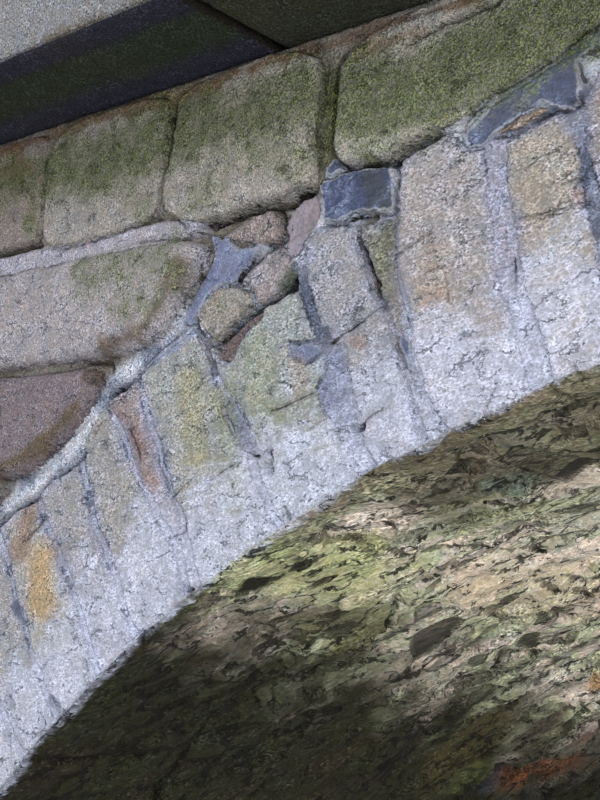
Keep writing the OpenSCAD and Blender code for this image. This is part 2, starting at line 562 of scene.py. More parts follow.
haunch = {
    "mossyOne": hewn(0.005, 0.012, (162, 152, 150), [-2360, 2802, -1930, 2813, -1906, 2822, -1902,
        2990, -1904, 3034, -2360, 3034]),
    "mossyTwo": hewn(0.006, 0.012, (172, 168, 166), [-1897, 3034, -1895, 2840, -1878, 2802, -1800,
        2796, -1700, 2797, -1600, 2806, -1566, 2818, -1564, 2900, -1557, 2960, -1552, 3034]),
    "mossyThree": hewn(0.009, 0.012, (176, 172, 168), [-1545, 3034, -1552, 2950, -1560, 2880, -1557,
        2825, -1530, 2806, -1460, 2785, -1400, 2787, -1320, 2791, -1240, 2787, -1203, 2803, -1199,
        2850, -1201, 3034]),
    "mossyFour": hewn(0.009, 0.01, (188, 186, 182), [-1170, 3034, -1171, 2860, -1160, 2828, -1140,
        2817, -1070, 2816, -1045, 2829, -990, 2838, -935, 2853, -900, 2876, -835, 2895, -750, 2934,
        -640, 2968, -620, 3034]),
    "bigPillow": hewn(0.02, 0.038, (176, 172, 180), [-2450, 2577, -2000, 2576, -1750, 2576, -1620,
        2577, -1530, 2590, -1500, 2615, -1478, 2652, -1447, 2692, -1425, 2725, -1436, 2748, -1500,
        2762, -1750, 2763, -2100, 2762, -2450, 2762]),
    "darkPillow": hewn(0.022, 0.036, (134, 124, 132), [-2310, 2372, -2000, 2370, -1900, 2368, -1865,
        2371, -1800, 2401, -1740, 2446, -1700, 2481, -1665, 2532, -1675, 2556, -1720, 2562, -1800,
        2563, -2310, 2558]),
    "thinFiller": hewn(0.002, 0.003, (152, 142, 142), [-1405, 2755, -1365, 2768, -1330, 2778, -1295,
        2782, -1285, 2768, -1276, 2750, -1269, 2731, -1290, 2727, -1340, 2732, -1375, 2742], cut=0),
    "slateBlock": hewn(0.006, 0.004, (92, 101, 128), [-1198, 2799, -1189, 2806, -1169, 2808, -1140,
        2814, -1108, 2812, -1077, 2811, -1061, 2808, -1058, 2785, -1055, 2743, -1061, 2739, -1079,
        2740, -1117, 2747, -1140, 2745, -1160, 2739, -1174, 2740, -1190, 2745, -1190, 2765, -1193,
        2781], cut=0, slaty=1),
    "slateWedge": hewn(0.003, 0.004, (104, 112, 134), [-1192, 2827, -1178, 2841, -1169, 2841, -1162,
        2830, -1149, 2819, -1170, 2812, -1192, 2811], cut=0, slaty=1),
    "slateArrow": hewn(0.002, 0.005, (148, 154, 180), [-1439, 2763, -1421, 2760, -1403, 2751, -1392,
        2754, -1382, 2742, -1369, 2731, -1342, 2729, -1307, 2726, -1320, 2707, -1342, 2694, -1354,
        2684, -1357, 2675, -1365, 2669, -1383, 2672, -1401, 2672, -1419, 2661, -1432, 2649, -1443,
        2634, -1450, 2620, -1460, 2613, -1480, 2618, -1464, 2657, -1453, 2675, -1439, 2693, -1428,
        2711, -1419, 2725, -1426, 2743], cut=0, slaty=0.8),
    "smoothMortar": hewn(-0.002, 0.006, (166, 156, 168), [-1264, 2765, -1235, 2786, -1214, 2795,
        -1200, 2782, -1199, 2752, -1222, 2725, -1238, 2700, -1262, 2706, -1266, 2728, -1272, 2745],
        cut=1, smooth=1),
    "slateSliver": hewn(0.002, 0.005, (116, 123, 142), [-955, 2837, -930, 2848, -900, 2871, -835,
        2889, -800, 2904, -750, 2928, -749, 2898, -775, 2886, -768, 2860, -770, 2842, -785, 2829,
        -810, 2836, -828, 2846, -850, 2838, -875, 2830, -900, 2820, -915, 2806, -945, 2808], cut=0,
        slaty=1),
    "brownStrip": hewn(0.005, 0.004, (170, 152, 138), [-898, 2816, -875, 2827, -850, 2835, -828,
        2843, -812, 2834, -825, 2828, -850, 2820, -880, 2814], cut=1),
    "greenKnob": hewn(0.002, 0.003, (160, 156, 152), [-1446, 2624, -1432, 2645, -1418, 2657, -1400,
        2668, -1365, 2667, -1342, 2662, -1327, 2653, -1318, 2636, -1345, 2620, -1375, 2602, -1404,
        2583], cut=0),
    "knobMate": hewn(0.001, 0.003, (162, 157, 164), [-1353, 2678, -1341, 2690, -1318, 2702, -1300,
        2713, -1270, 2722, -1246, 2694, -1240, 2672, -1248, 2658, -1275, 2644, -1310, 2632, -1322,
        2655, -1338, 2668], cut=0),
    "rubble": hewn(-0.006, 0.006, (116, 104, 106), [-1397, 2578, -1365, 2598, -1325, 2617, -1300,
        2626, -1300, 2612, -1325, 2600, -1345, 2576, -1353, 2554, -1365, 2545, -1383, 2550], cut=1),
    "slateNine": hewn(0.0, 0.004, (142, 148, 174), [-1163, 2552, -1140, 2557, -1129, 2537, -1122,
        2510, -1117, 2492, -1108, 2470, -1099, 2452, -1108, 2438, -1127, 2438, -1144, 2445, -1158,
        2460, -1172, 2474, -1178, 2498, -1166, 2514, -1162, 2532], cut=0, slaty=0.45),
    "slateSpot": hewn(0.0, 0.004, (134, 142, 168), [-1239, 2566, -1221, 2564, -1194, 2566, -1176,
        2560, -1169, 2550, -1185, 2541, -1203, 2537, -1221, 2541, -1235, 2551], cut=0, slaty=0.45),
    "slateTen": hewn(-0.001, 0.004, (138, 142, 164), [-1370, 2494, -1348, 2492, -1331, 2470, -1320,
        2456, -1307, 2438, -1289, 2420, -1287, 2404, -1302, 2402, -1320, 2407, -1334, 2425, -1345,
        2447, -1365, 2470], cut=0, slaty=0.45),
    "slateSeven": hewn(0.0, 0.004, (108, 116, 144), [-1042, 2562, -1028, 2570, -1016, 2551, -1005,
        2520, -994, 2500, -990, 2479, -998, 2478, -1009, 2502, -1024, 2524, -1036, 2544], cut=0,
        slaty=0.8),
    "slateThirteen": hewn(0.001, 0.004, (134, 138, 160), [-1692, 2348, -1675, 2357, -1655, 2330,
        -1630, 2295, -1600, 2260, -1566, 2232, -1556, 2214, -1575, 2201, -1597, 2208, -1625, 2243,
        -1650, 2268, -1674, 2294, -1690, 2318], cut=0, slaty=0.45),
    "slateFifteen": hewn(0.0, 0.004, (118, 122, 146), [-1878, 2165, -1845, 2170, -1834, 2140, -1820,
        2120, -1801, 2096, -1800, 2070, -1808, 2080, -1826, 2110, -1850, 2125, -1868, 2136], cut=0,
        slaty=0.45),
}

# Joints of the measured ring, from the back of the ring to its lower edge
ringJoints = {
    5: joint(0.018, "slate", [-800, 2890, -780, 2820, -772, 2790, -762, 2745, -746, 2700, -734,
        2640, -700, 2500]),
    6: joint(0.032, "soft", [-905, 2870, -899, 2800, -892, 2750, -881, 2700, -872, 2660, -855, 2600,
        -835, 2550, -800, 2450]),
    7: joint(0.007, "pale", [-1060, 2860, -1052, 2780, -1048, 2700, -1034, 2630, -1020, 2585, -1012,
        2545, -995, 2490, -965, 2440, -945, 2400]),
    8: joint(0.005, "dark", [-1125, 2800, -1116, 2698, -1096, 2662, -1080, 2625, -1066, 2600, -1050,
        2570]),
    9: joint(0.02, "slate", [-1250, 2760, -1222, 2660, -1200, 2610, -1172, 2570, -1150, 2530, -1140,
        2490, -1116, 2440, -1080, 2380, -1060, 2320]),
    10: joint(0.012, "pale", [-1462, 2660, -1440, 2610, -1415, 2568, -1395, 2530, -1360, 2490,
        -1330, 2445, -1300, 2402, -1284, 2366, -1262, 2340, -1245, 2310, -1205, 2280, -1180, 2240]),
    11: joint(0.009, "pale", [-1605, 2600, -1580, 2540, -1560, 2505, -1535, 2460, -1510, 2425,
        -1498, 2390, -1470, 2352, -1445, 2312, -1425, 2270, -1390, 2200, -1360, 2120]),
    12: joint(0.01, "pale", [-1680, 2530, -1650, 2490, -1620, 2460, -1600, 2435, -1575, 2400, -1550,
        2370, -1520, 2335, -1490, 2300, -1450, 2262, -1420, 2200, -1370, 2130]),
    13: joint(0.014, "pale", [-1725, 2460, -1695, 2380, -1680, 2345, -1652, 2292, -1612, 2238,
        -1580, 2205, -1555, 2160, -1530, 2120, -1480, 2040]),
    14: joint(0.008, "pale", [-1845, 2380, -1800, 2305, -1775, 2275, -1740, 2235, -1705, 2200,
        -1680, 2160, -1640, 2100, -1580, 2000]),
    15: joint(0.01, "pale", [-1975, 2320, -1900, 2230, -1862, 2165, -1835, 2130, -1805, 2085, -1778,
        2050, -1700, 1965, -1640, 1900]),
}

# Stones between those joints, counted from the crown stone: tint and how far they stand out
ringStones = {
    6: (seen(177, 170, 164), 0.005), 7: (seen(177, 173, 178), 0.006),
    8: (seen(138, 136, 130), -0.003), 9: (seen(168, 169, 180), 0.002),
    10: (seen(168, 174, 176), 0.003), 11: (seen(168, 170, 171), 0.002),
    12: (seen(158, 146, 148), -0.002), 13: (seen(168, 168, 173), 0.004),
    14: (seen(168, 168, 177), 0.002), 15: (seen(179, 178, 178), 0.005),
    16: (seen(171, 172, 180), 0.002),
}

# The upper edge of the ring stones there, under the mortar fillet
ringTop = [
    -1930, 2287, -1900, 2310, -1850, 2325, -1822, 2343, -1802, 2362, -1760, 2380, -1725, 2397,
    -1700, 2448, -1680, 2480, -1650, 2500, -1630, 2514, -1600, 2522, -1582, 2535, -1550, 2562,
    -1500, 2585, -1463, 2606, -1440, 2625, -1404, 2668, -1310, 2724, -1270, 2722, -1200, 2742,
    -1130, 2733, -1058, 2730, -1052, 2800, -1030, 2818, -985, 2834, -957, 2829, -945, 2806, -915,
    2800, -880, 2808, -850, 2816, -812, 2828, -785, 2824, -764, 2840, -745, 2895]

# Open cracks, holes and lips: width, depth, how dark they are, and the line
haunchCracks = [
    (0.006, 0.024, 1.0, [-1945, 2285, -1930, 2290, -1915, 2300, -1900, 2312, -1875, 2325, -1850,
        2328, -1828, 2335, -1822, 2345, -1802, 2365, -1785, 2375, -1760, 2382, -1740, 2388, -1725,
        2400]),
    (0.015, 0.04, 1.0, [-1722, 2404, -1712, 2412]),
    (0.003, 0.01, 0.8, [-1712, 2412, -1712, 2440, -1698, 2458, -1700, 2465]),
    (0.003, 0.01, 0.8, [-1680, 2482, -1655, 2495, -1648, 2512]),
    (0.005, 0.02, 1.0, [-1648, 2512, -1630, 2518, -1600, 2525, -1582, 2538, -1570, 2555]),
    (0.009, 0.03, 1.0, [-1646, 2511, -1632, 2517]),
    (0.002, 0.006, 0.7, [-1570, 2555, -1545, 2572, -1505, 2595, -1463, 2612]),
    (0.006, 0.022, 0.9, [-1548, 3008, -1550, 2980, -1556, 2945, -1562, 2900]),
    (0.002, 0.008, 0.5, [-1562, 2900, -1561, 2860, -1562, 2815]),
    (0.0055, 0.026, 1.0, [-1174, 2999, -1176, 2950, -1174, 2900, -1173, 2850, -1165, 2832, -1146,
        2817, -1110, 2817, -1070, 2813]),
    (0.01, 0.026, 0.85, [-1070, 2813, -1045, 2824, -992, 2835]),
    (0.002, 0.008, 0.8, [-992, 2835, -965, 2836, -950, 2834, -945, 2845, -900, 2874, -835, 2892,
        -800, 2907, -750, 2931]),
    (0.002, 0.006, 0.6, [-1202, 2995, -1202, 2900, -1200, 2830]),
    (0.005, 0.016, 0.8, [-1040, 2985, -980, 2998, -900, 3006]),
    (0.006, 0.018, 0.85, [-2060, 2809, -1960, 2811, -1905, 2812, -1898, 2832]),
    (0.004, 0.014, 0.8, [-1865, 2795, -1800, 2792, -1700, 2794, -1650, 2802, -1600, 2804, -1566,
        2812]),
    (0.003, 0.01, 0.9, [-1545, 2806, -1520, 2800, -1498, 2788, -1490, 2780]),
    (0.0028, 0.01, 0.9, [-1600, 2770, -1560, 2769, -1520, 2766, -1490, 2762, -1468, 2770, -1440,
        2765]),
    (0.007, 0.024, 1.0, [-1455, 2781, -1410, 2781, -1365, 2786, -1300, 2790, -1265, 2787, -1235,
        2794, -1216, 2796]),
    (0.005, 0.022, 1.0, [-1298, 2789, -1284, 2771, -1276, 2752, -1270, 2766]),
    (0.0045, 0.018, 1.0, [-1272, 2744, -1264, 2733, -1278, 2722, -1300, 2716, -1325, 2703, -1342,
        2692, -1354, 2682, -1357, 2674]),
    (0.007, 0.02, 0.9, [-1300, 2722, -1278, 2726]),
    (0.0022, 0.01, 0.9, [-1357, 2674, -1342, 2665, -1325, 2656, -1318, 2645]),
    (0.002, 0.006, 0.8, [-1419, 2758, -1403, 2750, -1390, 2757, -1365, 2768]),
    (0.0025, 0.01, 0.9, [-1200, 2796, -1195, 2784, -1193, 2765]),
    (0.003, 0.012, 1.0, [-1192, 2743, -1174, 2738, -1160, 2737, -1140, 2743, -1117, 2745, -1079,
        2738, -1058, 2738]),
    (0.003, 0.012, 1.0, [-1054, 2741, -1056, 2785, -1059, 2806]),
    (0.0022, 0.008, 0.9, [-1195, 2809, -1170, 2810, -1148, 2816]),
    (0.003, 0.01, 0.7, [-2000, 2566, -1900, 2560, -1800, 2562, -1740, 2568]),
    (0.005, 0.014, 0.9, [-1740, 2575, -1700, 2573, -1665, 2570, -1655, 2555]),
    (0.007, 0.03, 1.0, [-1404, 2579, -1372, 2598, -1340, 2617, -1300, 2630, -1270, 2640, -1246,
        2650]),
    (0.006, 0.02, 0.9, [-1262, 2645, -1248, 2655, -1242, 2665, -1236, 2645]),
    (0.0055, 0.022, 0.95, [-1452, 2618, -1441, 2603, -1428, 2589, -1414, 2572, -1404, 2552, -1392,
        2535]),
    (0.0035, 0.016, 1.0, [-1306, 2402, -1287, 2400]),
    (0.005, 0.014, 0.85, [-1268, 2407, -1263, 2398, -1265, 2387, -1260, 2379]),
    (0.0025, 0.01, 0.9, [-1231, 2328, -1224, 2320, -1217, 2307]),
    (0.005, 0.02, 0.9, [-1116, 2700, -1102, 2672, -1090, 2650, -1078, 2622]),
    (0.0035, 0.014, 0.95, [-1158, 2561, -1140, 2571, -1122, 2580, -1100, 2589]),
    (0.0018, 0.006, 0.7, [-1100, 2589, -1082, 2599, -1060, 2612]),
    (0.006, 0.02, 1.0, [-1101, 2435, -1092, 2438]),
    (0.0022, 0.008, 0.8, [-1090, 2441, -1077, 2452, -1054, 2463]),
    (0.003, 0.008, 0.7, [-1078, 2508, -1073, 2500]),
    (0.002, 0.006, 0.85, [-1270, 2467, -1248, 2471, -1221, 2478, -1185, 2490]),
    (0.0014, 0.004, 0.6, [-1190, 2438, -1162, 2452]),
    (0.0016, 0.005, 0.7, [-1383, 2366, -1365, 2375, -1347, 2384, -1320, 2391]),
    (0.002, 0.008, 0.8, [-1473, 2348, -1466, 2337, -1452, 2350, -1420, 2372]),
    (0.0022, 0.01, 0.9, [-1432, 2308, -1430, 2286, -1457, 2278]),
    (0.003, 0.01, 0.8, [-1500, 2382, -1485, 2362, -1470, 2342]),
    (0.003, 0.01, 0.7, [-1585, 2452, -1570, 2428, -1553, 2400]),
    (0.0024, 0.008, 0.7, [-1680, 2445, -1672, 2462, -1655, 2470]),
    (0.003, 0.01, 0.8, [-1800, 2303, -1803, 2290, -1830, 2270, -1850, 2255]),
    (0.002, 0.006, 0.8, [-855, 2698, -820, 2699, -800, 2701, -755, 2705]),
    (0.0022, 0.006, 0.8, [-795, 2732, -782, 2734, -768, 2738]),
    (0.0016, 0.004, 0.7, [-1040, 2675, -1010, 2688, -985, 2698]),
    (0.0026, 0.005, 0.6, [-990, 2642, -978, 2645, -966, 2649]),
    (0.0014, 0.003, 0.5, [-967, 2650, -952, 2600]), (0.003, 0.008, 0.8, [-930, 2553, -918, 2551]),
    (0.0022, 0.008, 0.9, [-860, 2645, -858, 2630, -854, 2615]),
    (0.0045, 0.01, 0.7, [-912, 2440, -900, 2442]),
    (0.0024, 0.008, 0.7, [-877, 2488, -884, 2470, -890, 2458]),
    (0.006, 0.02, 0.8, [-1853, 1992, -1830, 1975]),
    (0.006, 0.026, 0.9, [-1725, 2000, -1700, 1990, -1685, 1975]),
    (0.006, 0.014, 0.6, [-1641, 2068, -1639, 2055]),
    (0.005, 0.014, 0.8, [-1521, 2122, -1512, 2118]),
    (0.004, 0.012, 0.8, [-1472, 2151, -1462, 2147]), (0.006, 0.02, 0.8, [-1428, 2200, -1410, 2192]),
    (0.0024, 0.008, 0.9, [-1193, 2299, -1158, 2321, -1131, 2334, -1100, 2346]),
    (0.0024, 0.008, 0.9, [-1050, 2360, -1023, 2370, -1000, 2382, -980, 2392]),
    (0.003, 0.012, 0.9, [-900, 2814, -880, 2812, -850, 2818, -825, 2826, -800, 2832, -785, 2826,
        -770, 2834]),
    (0.003, 0.01, 0.8, [-775, 2886, -772, 2872, -767, 2862]),
    (0.01, 0.012, 0.6, [-790, 2835, -778, 2836]),
]

# Stains and veils painted over the stones, and painted shadow along the lower edges of the two
# pillow stones: half width, strength, colour and line
haunchStainsAndShadows = [
    (0.046, 0.6, seen(206, 168, 104), [-1790, 2225, -1775, 2165]),
    (0.038, 0.6, seen(150, 116, 94), [-1865, 2245, -1840, 2300]),
    (0.035, 0.25, seen(184, 160, 130), [-980, 2680, -978, 2580]),
    (0.03, 0.3, seen(186, 156, 118), [-800, 2600, -760, 2500]),
    (0.03, 0.5, seen(142, 150, 100), [-1370, 2500, -1330, 2330]),
    (0.04, 0.45, seen(156, 152, 98), [-1450, 2520, -1420, 2400]),
    (0.04, 0.4, seen(150, 156, 118), [-1310, 2560, -1270, 2460]),
    (0.022, 0.4, seen(180, 152, 138), [-1215, 2535, -1205, 2500]),
    (0.022, 0.3, seen(104, 108, 88), [-1070, 2700, -1060, 2600]),
    (0.025, 0.4, seen(140, 158, 130), [-1050, 2500, -1060, 2470]),
    (0.016, 0.35, seen(146, 100, 92), [-1570, 2420, -1530, 2360, -1490, 2310]),
    (0.022, 0.4, seen(128, 92, 84), [-1575, 2440, -1550, 2415]),
    (0.018, 0.35, seen(142, 104, 92), [-1530, 2375, -1500, 2345]),
    (0.016, 0.45, seen(140, 104, 98), [-1640, 2495, -1600, 2470]),
    (0.01, 0.4, seen(150, 112, 80), [-1124, 2566, -1112, 2560, -1100, 2556]),
    (0.01, 0.7, seen(128, 92, 90), [-876, 2685, -872, 2645]),
    (0.014, 0.6, seen(160, 120, 84), [-775, 2722, -772, 2715]),
    (0.022, 0.25, seen(186, 154, 124), [-980, 2600, -965, 2560]),
    (0.022, 0.5, seen(96, 100, 82), [-1100, 2800, -1070, 2725, -1065, 2700]),
    (0.01, 0.8, seen(70, 84, 66), [-1255, 2655, -1245, 2675]),
    (0.02, 0.75, seen(146, 158, 190), [-1560, 2565, -1500, 2585, -1460, 2600]),
    # the next three are painted shadow: dark brown along the lower edges of the two pillow stones
    # and under the upper one
    (0.02, 0.75, seen(96, 80, 50), [-2000, 2385, -1920, 2385, -1860, 2402, -1790, 2442, -1730,
        2490]),
    (0.02, 0.7, seen(96, 78, 52), [-1660, 2595, -1560, 2605, -1510, 2650, -1470, 2700]),
    (0.016, 0.7, seen(80, 62, 42), [-1700, 2555, -1680, 2545]),
    (0.014, 0.8, seen(112, 80, 50), [-2100, 3022, -1700, 3020, -1450, 3018, -1200, 3022, -900,
        3020]),
    (0.016, 0.6, seen(128, 88, 52), [-1130, 2990, -1020, 2995]),
    (0.02, 0.5, seen(118, 84, 50), [-2080, 2980, -1950, 2970]),
]

# Moss on the haunch: half width, strength and line
haunchMoss = [
    (0.055, 0.75, [-2400, 2955, -1920, 2950]), (0.026, 0.75, [-1950, 2940, -1920, 2860]),
    (0.068, 0.85, [-1880, 2945, -1740, 2940, -1580, 2945]),
    (0.03, 0.6, [-1690, 2900, -1640, 2870, -1600, 2840]),
    (0.062, 0.85, [-1520, 2955, -1360, 2945, -1220, 2945]),
    (0.036, 0.6, [-1360, 2900, -1280, 2860, -1230, 2840]), (0.024, 0.5, [-1480, 2835, -1420, 2845]),
    (0.072, 1.0, [-1150, 2920, -1020, 2910, -860, 2950, -700, 2980]),
    (0.026, 0.6, [-1130, 2850, -1040, 2850, -960, 2870]),
    (0.048, 0.65, [-1720, 2720, -1600, 2725, -1520, 2730]),
    (0.034, 0.55, [-1620, 2660, -1530, 2650, -1490, 2690]),
    (0.02, 0.35, [-1410, 2645, -1380, 2640]), (0.018, 0.35, [-1090, 2700, -1070, 2620]),
    (0.022, 0.25, [-1380, 2490, -1330, 2360]),
]


def onFace(point):
    # a measured point of the face as its radius and its angle from the crown
    x, z = point
    return math.hypot(x, z), math.degrees(math.atan2(-x, z))


def jointsOf(shift, measured):
    # the joints of half a ring, from the crown down: width, tone, radii and angles
    random = np.random.default_rng(shift + 61)
    widths = np.roll(bridge["stoneWidths"], -shift)
    angles = bridge["crownHalf"] + np.concatenate([[0.0], np.cumsum(widths)])[:-1]
    joints = []
    for index, angle in enumerate(angles):
        sway = random.uniform(-0.22, 0.22, 3) * (index > 0)
        radii = [2.5, 2.6, 2.8, 3.0, 3.1]
        places = [angle + sway[0], angle + sway[0], angle + sway[1], angle + sway[2],
                  angle + sway[2]]
        width = random.uniform(0.009, 0.017)
        tone = random.choice(["slate", "pale", "pale", "dark"])
        if measured and index in ringJoints:
            polar = [onFace(p) for p in ringJoints[index]["line"]][::-1]
            radii, places = [p[0] for p in polar], [p[1] for p in polar]
            width, tone = ringJoints[index]["width"], ringJoints[index]["tone"]
        joints.append({"radii": radii, "angles": places, "width": width, "tone": tone})
    return joints


wallCourses = [(2.803, 3.030), (2.577, 2.770), (2.372, 2.560), (2.150, 2.352), (1.932, 2.130),
               (1.722, 1.912), (1.512, 1.702), (1.312, 1.492), (1.112, 1.292)]
wallTints = [seen(158, 150, 146), seen(150, 142, 140), seen(138, 130, 132), seen(164, 154, 146),
             seen(154, 148, 150), seen(150, 140, 128), seen(134, 128, 126), seen(168, 158, 154)]


def coursedStones(random, rows, lengths, corners=(), reaches=(0.24, 0.42)):
    # stones laid in level courses (low, high, left, right), with quoins bound over the corners
    stones = []
    for row, (low, high, left, right) in enumerate(rows):
        breaks = [left]
        x = left
        for corner in list(corners) + [1e9]:
            pair = reaches if row % 2 else reaches[::-1]
            while min(right, corner - pair[0]) - x > lengths[1]:
                x += random.uniform(*lengths)
                breaks.append(x)
            if corner < right and corner > left:
                x = corner + pair[1]
                breaks += [corner - pair[0], x]
        breaks.append(right)
        breaks = [b for n, b in enumerate(breaks) if n == 0 or b - breaks[n - 1] > 0.05]
        breaks[-1] = right
        for x0, x1 in zip(breaks[:-1], breaks[1:]):
            gap = random.uniform(0.004, 0.008)
            wave = random.uniform(-0.007, 0.007, 8)
            middle = (x0 + x1) / 2
            stones.append({
                "face": random.uniform(0.002, 0.014),
                "worn": random.uniform(0.016, 0.036),
                "tint": wallTints[random.integers(len(wallTints))],
                "outline": [(x0 + gap + wave[0] * .4, low + wave[1]), (middle, low + wave[2]),
                            (x1 - gap + wave[3] * .4, low + wave[4]),
                            (x1 - gap, (low + high) / 2),
                            (x1 - gap + wave[5] * .4, high + wave[6] * .5),
                            (middle, high + wave[7] * .5), (x0 + gap, high),
                            (x0 + gap, (low + high) / 2)]})
    return stones


def layStones(x, z, stones):
    # for each point: how deep inside its nearest stone it lies, and which stone that is
    depth = np.full(x.shape, -0.06)
    owner = np.full(x.shape, -1)
    for number, stone in enumerate(stones):
        outline = softened(stone["outline"], stone.get("cut", 2))
        xs, zs = [p[0] for p in outline], [p[1] for p in outline]
        near = ((x > min(xs) - 0.05) & (x < max(xs) + 0.05) & (z > min(zs) - 0.05)
                & (z < max(zs) + 0.05))
        spot = np.nonzero(near)[0]
        if not len(spot):
            continue
        value = insideOf(x[spot], z[spot], outline)
        better = value > depth[spot]
        depth[spot[better]] = value[better]
        owner[spot[better]] = number
    return depth, owner


def perStone(owner, values, fallback):
    return np.array(list(values) + [fallback])[owner]


def wallLayout(x, z, stones, seed):
    # the attributes of a coursed wall at points x along it and z up it
    points = flat(x, z, seed * 3.1)
    measured = any(stone.get("cut", 2) < 2 for stone in stones)
    wander = noise(points, 0.05, seed + 1, 2) * (0.0015 if measured else 0.004)
    depth, owner = layStones(x + wander, z - wander, stones)
    random = np.random.default_rng(seed + 5)
    tilt = random.normal(0, 0.05, (len(stones) + 1, 2))
    centres = np.array([np.mean(s["outline"], axis=0) for s in stones] + [(0, 0)])
    lean = (x - centres[owner, 0]) * tilt[owner, 0] + (z - centres[owner, 1]) * tilt[owner, 1]
    shade = 1.0 + random.normal(0, 0.05, len(stones) + 1)
    mortar = blend(np.tile(seen(158, 153, 148), (len(x), 1)), seen(124, 117, 104),
                   ease(noise(points, 0.25, seed + 3), -0.3, 0.5))
    tint = perStone(owner, [s["tint"] for s in stones], beige) * shade[owner][:, None]
    kinds = {key: perStone(owner, [s.get(key, 0.0) for s in stones], 0.0)
             for key in ("slaty", "smooth")}
    return {"edge": depth, "owner": owner, "face": perStone(owner, [s["face"] for s in stones], 0.0)
            + np.clip(lean, -0.010, 0.010), "round": perStone(owner, [s["worn"] for s in stones],
                                                              0.02) * 0.6, "bed": -0.010
            + noise(points, 0.08, seed + 4) * 0.004, "mortar": mortar, "stoneTint": tint, **kinds}


def ringLayout(x, h, quarter):
    # the attributes of the ring stones at points of the face
    joints, seed, measured = quarter["joints"], quarter["seed"], quarter["measured"]
    radius = np.hypot(x, h)
    angle = np.degrees(np.arctan2(-x, h))
    points = flat(x, h, seed * 1.7)
    angle = angle + noise(points, 0.07, seed + 1, 2) * 0.09
    jointAngles = np.array([np.interp(radius, j["radii"], j["angles"]) for j in joints])
    away = np.abs(angle[None, :] - jointAngles) * math.pi / 180 * radius
    swell = noise(points, 0.06, seed + 6, 2)
    widths = np.array([j["width"] for j in joints])[:, None] * (1 + 0.3 * swell[None, :])
    gaps = away - widths / 2
    nearest = np.argmin(gaps, axis=0)
    depth = np.min(gaps, axis=0)
    count = np.sum(jointAngles < angle[None, :], axis=0)
    top = outerRadius - 0.016 + noise(points, 0.12, seed + 2, 2) * 0.007
    if measured:
        polar = [onFace(p) for p in placesOf(ringTop)][::-1]
        places, radii = [p[1] for p in polar], [p[0] for p in polar]
        share = ease(angle, places[0] - 1, places[0]) * (1
                                                         - ease(angle, places[-1], places[-1] + 1))
        top = blend(top, np.interp(angle, places, radii) - 0.002, share)
    depth = np.minimum(depth, top - radius)
    random = np.random.default_rng(seed + 3)
    number = len(joints) + 1
    faces = random.normal(0.003, 0.004, number)
    tones = [seen(166, 156, 152), seen(158, 152, 142), seen(170, 160, 148), seen(150, 146, 144)]
    tints = np.array([tones[random.integers(len(tones))] for _ in range(number)])
    tints *= random.uniform(0.86, 1.08, number)[:, None]
    if measured:
        for key, (colour, stand) in ringStones.items():
            tints[key], faces[key] = colour, stand
    tilt = random.normal(0, 0.02, (number, 2))
    middle = np.array([0.0] + [np.mean(j["angles"]) + 1.3 for j in joints])
    lean = ((angle - middle[count]) * math.pi / 180 * radius * tilt[count, 0] + (radius - 2.8)
            * tilt[count, 1])
    tone = np.array([["slate", "pale", "dark", "soft"].index(j["tone"]) for j in joints])[nearest]
    mortar = np.array([slate, paleMortar, seen(112, 106, 104), seen(172, 174, 196)])[tone]
    mortar = blend(mortar, paleMortar, ease(noise(points, 0.05, seed + 4), 0.0, 0.6) * 0.6)
    creep = (1 - ease(depth, 0.0, 0.026)) * (0.35 + 0.4 * swell) + (1 - ease(depth, 0, 0.007)) * 0.3
    stoneTint = blend(tints[count], seen(164, 170, 200), np.clip(creep, 0, 0.85))
    return {"edge": depth, "radius": radius, "round": 0.004,
            "face": faces[count] * 0.5 + np.clip(lean, -0.004, 0.004),
            "bed": np.where(tone == 2, -0.008, -0.001) + noise(points, 0.03, seed + 5, 2) * 0.0015,
            "mortar": mortar, "stoneTint": stoneTint, "slaty": 0.0, "smooth": 0.0}


# The mortar fillet between ring and wall, in radii, and the heights and depths of what grows
fillet = {
    "wallEdge": 3.022, "bed": (3.02, 3.06), "mortar": (2.945, 2.980),
    "tint": seen(214, 220, 236), "dark": seen(136, 147, 172),
}
growth = {"top": (2.84, 2.95), "high": (2.2, 2.9), "damp": (1.1, 1.7), "lime": (0.09, 0.25)}


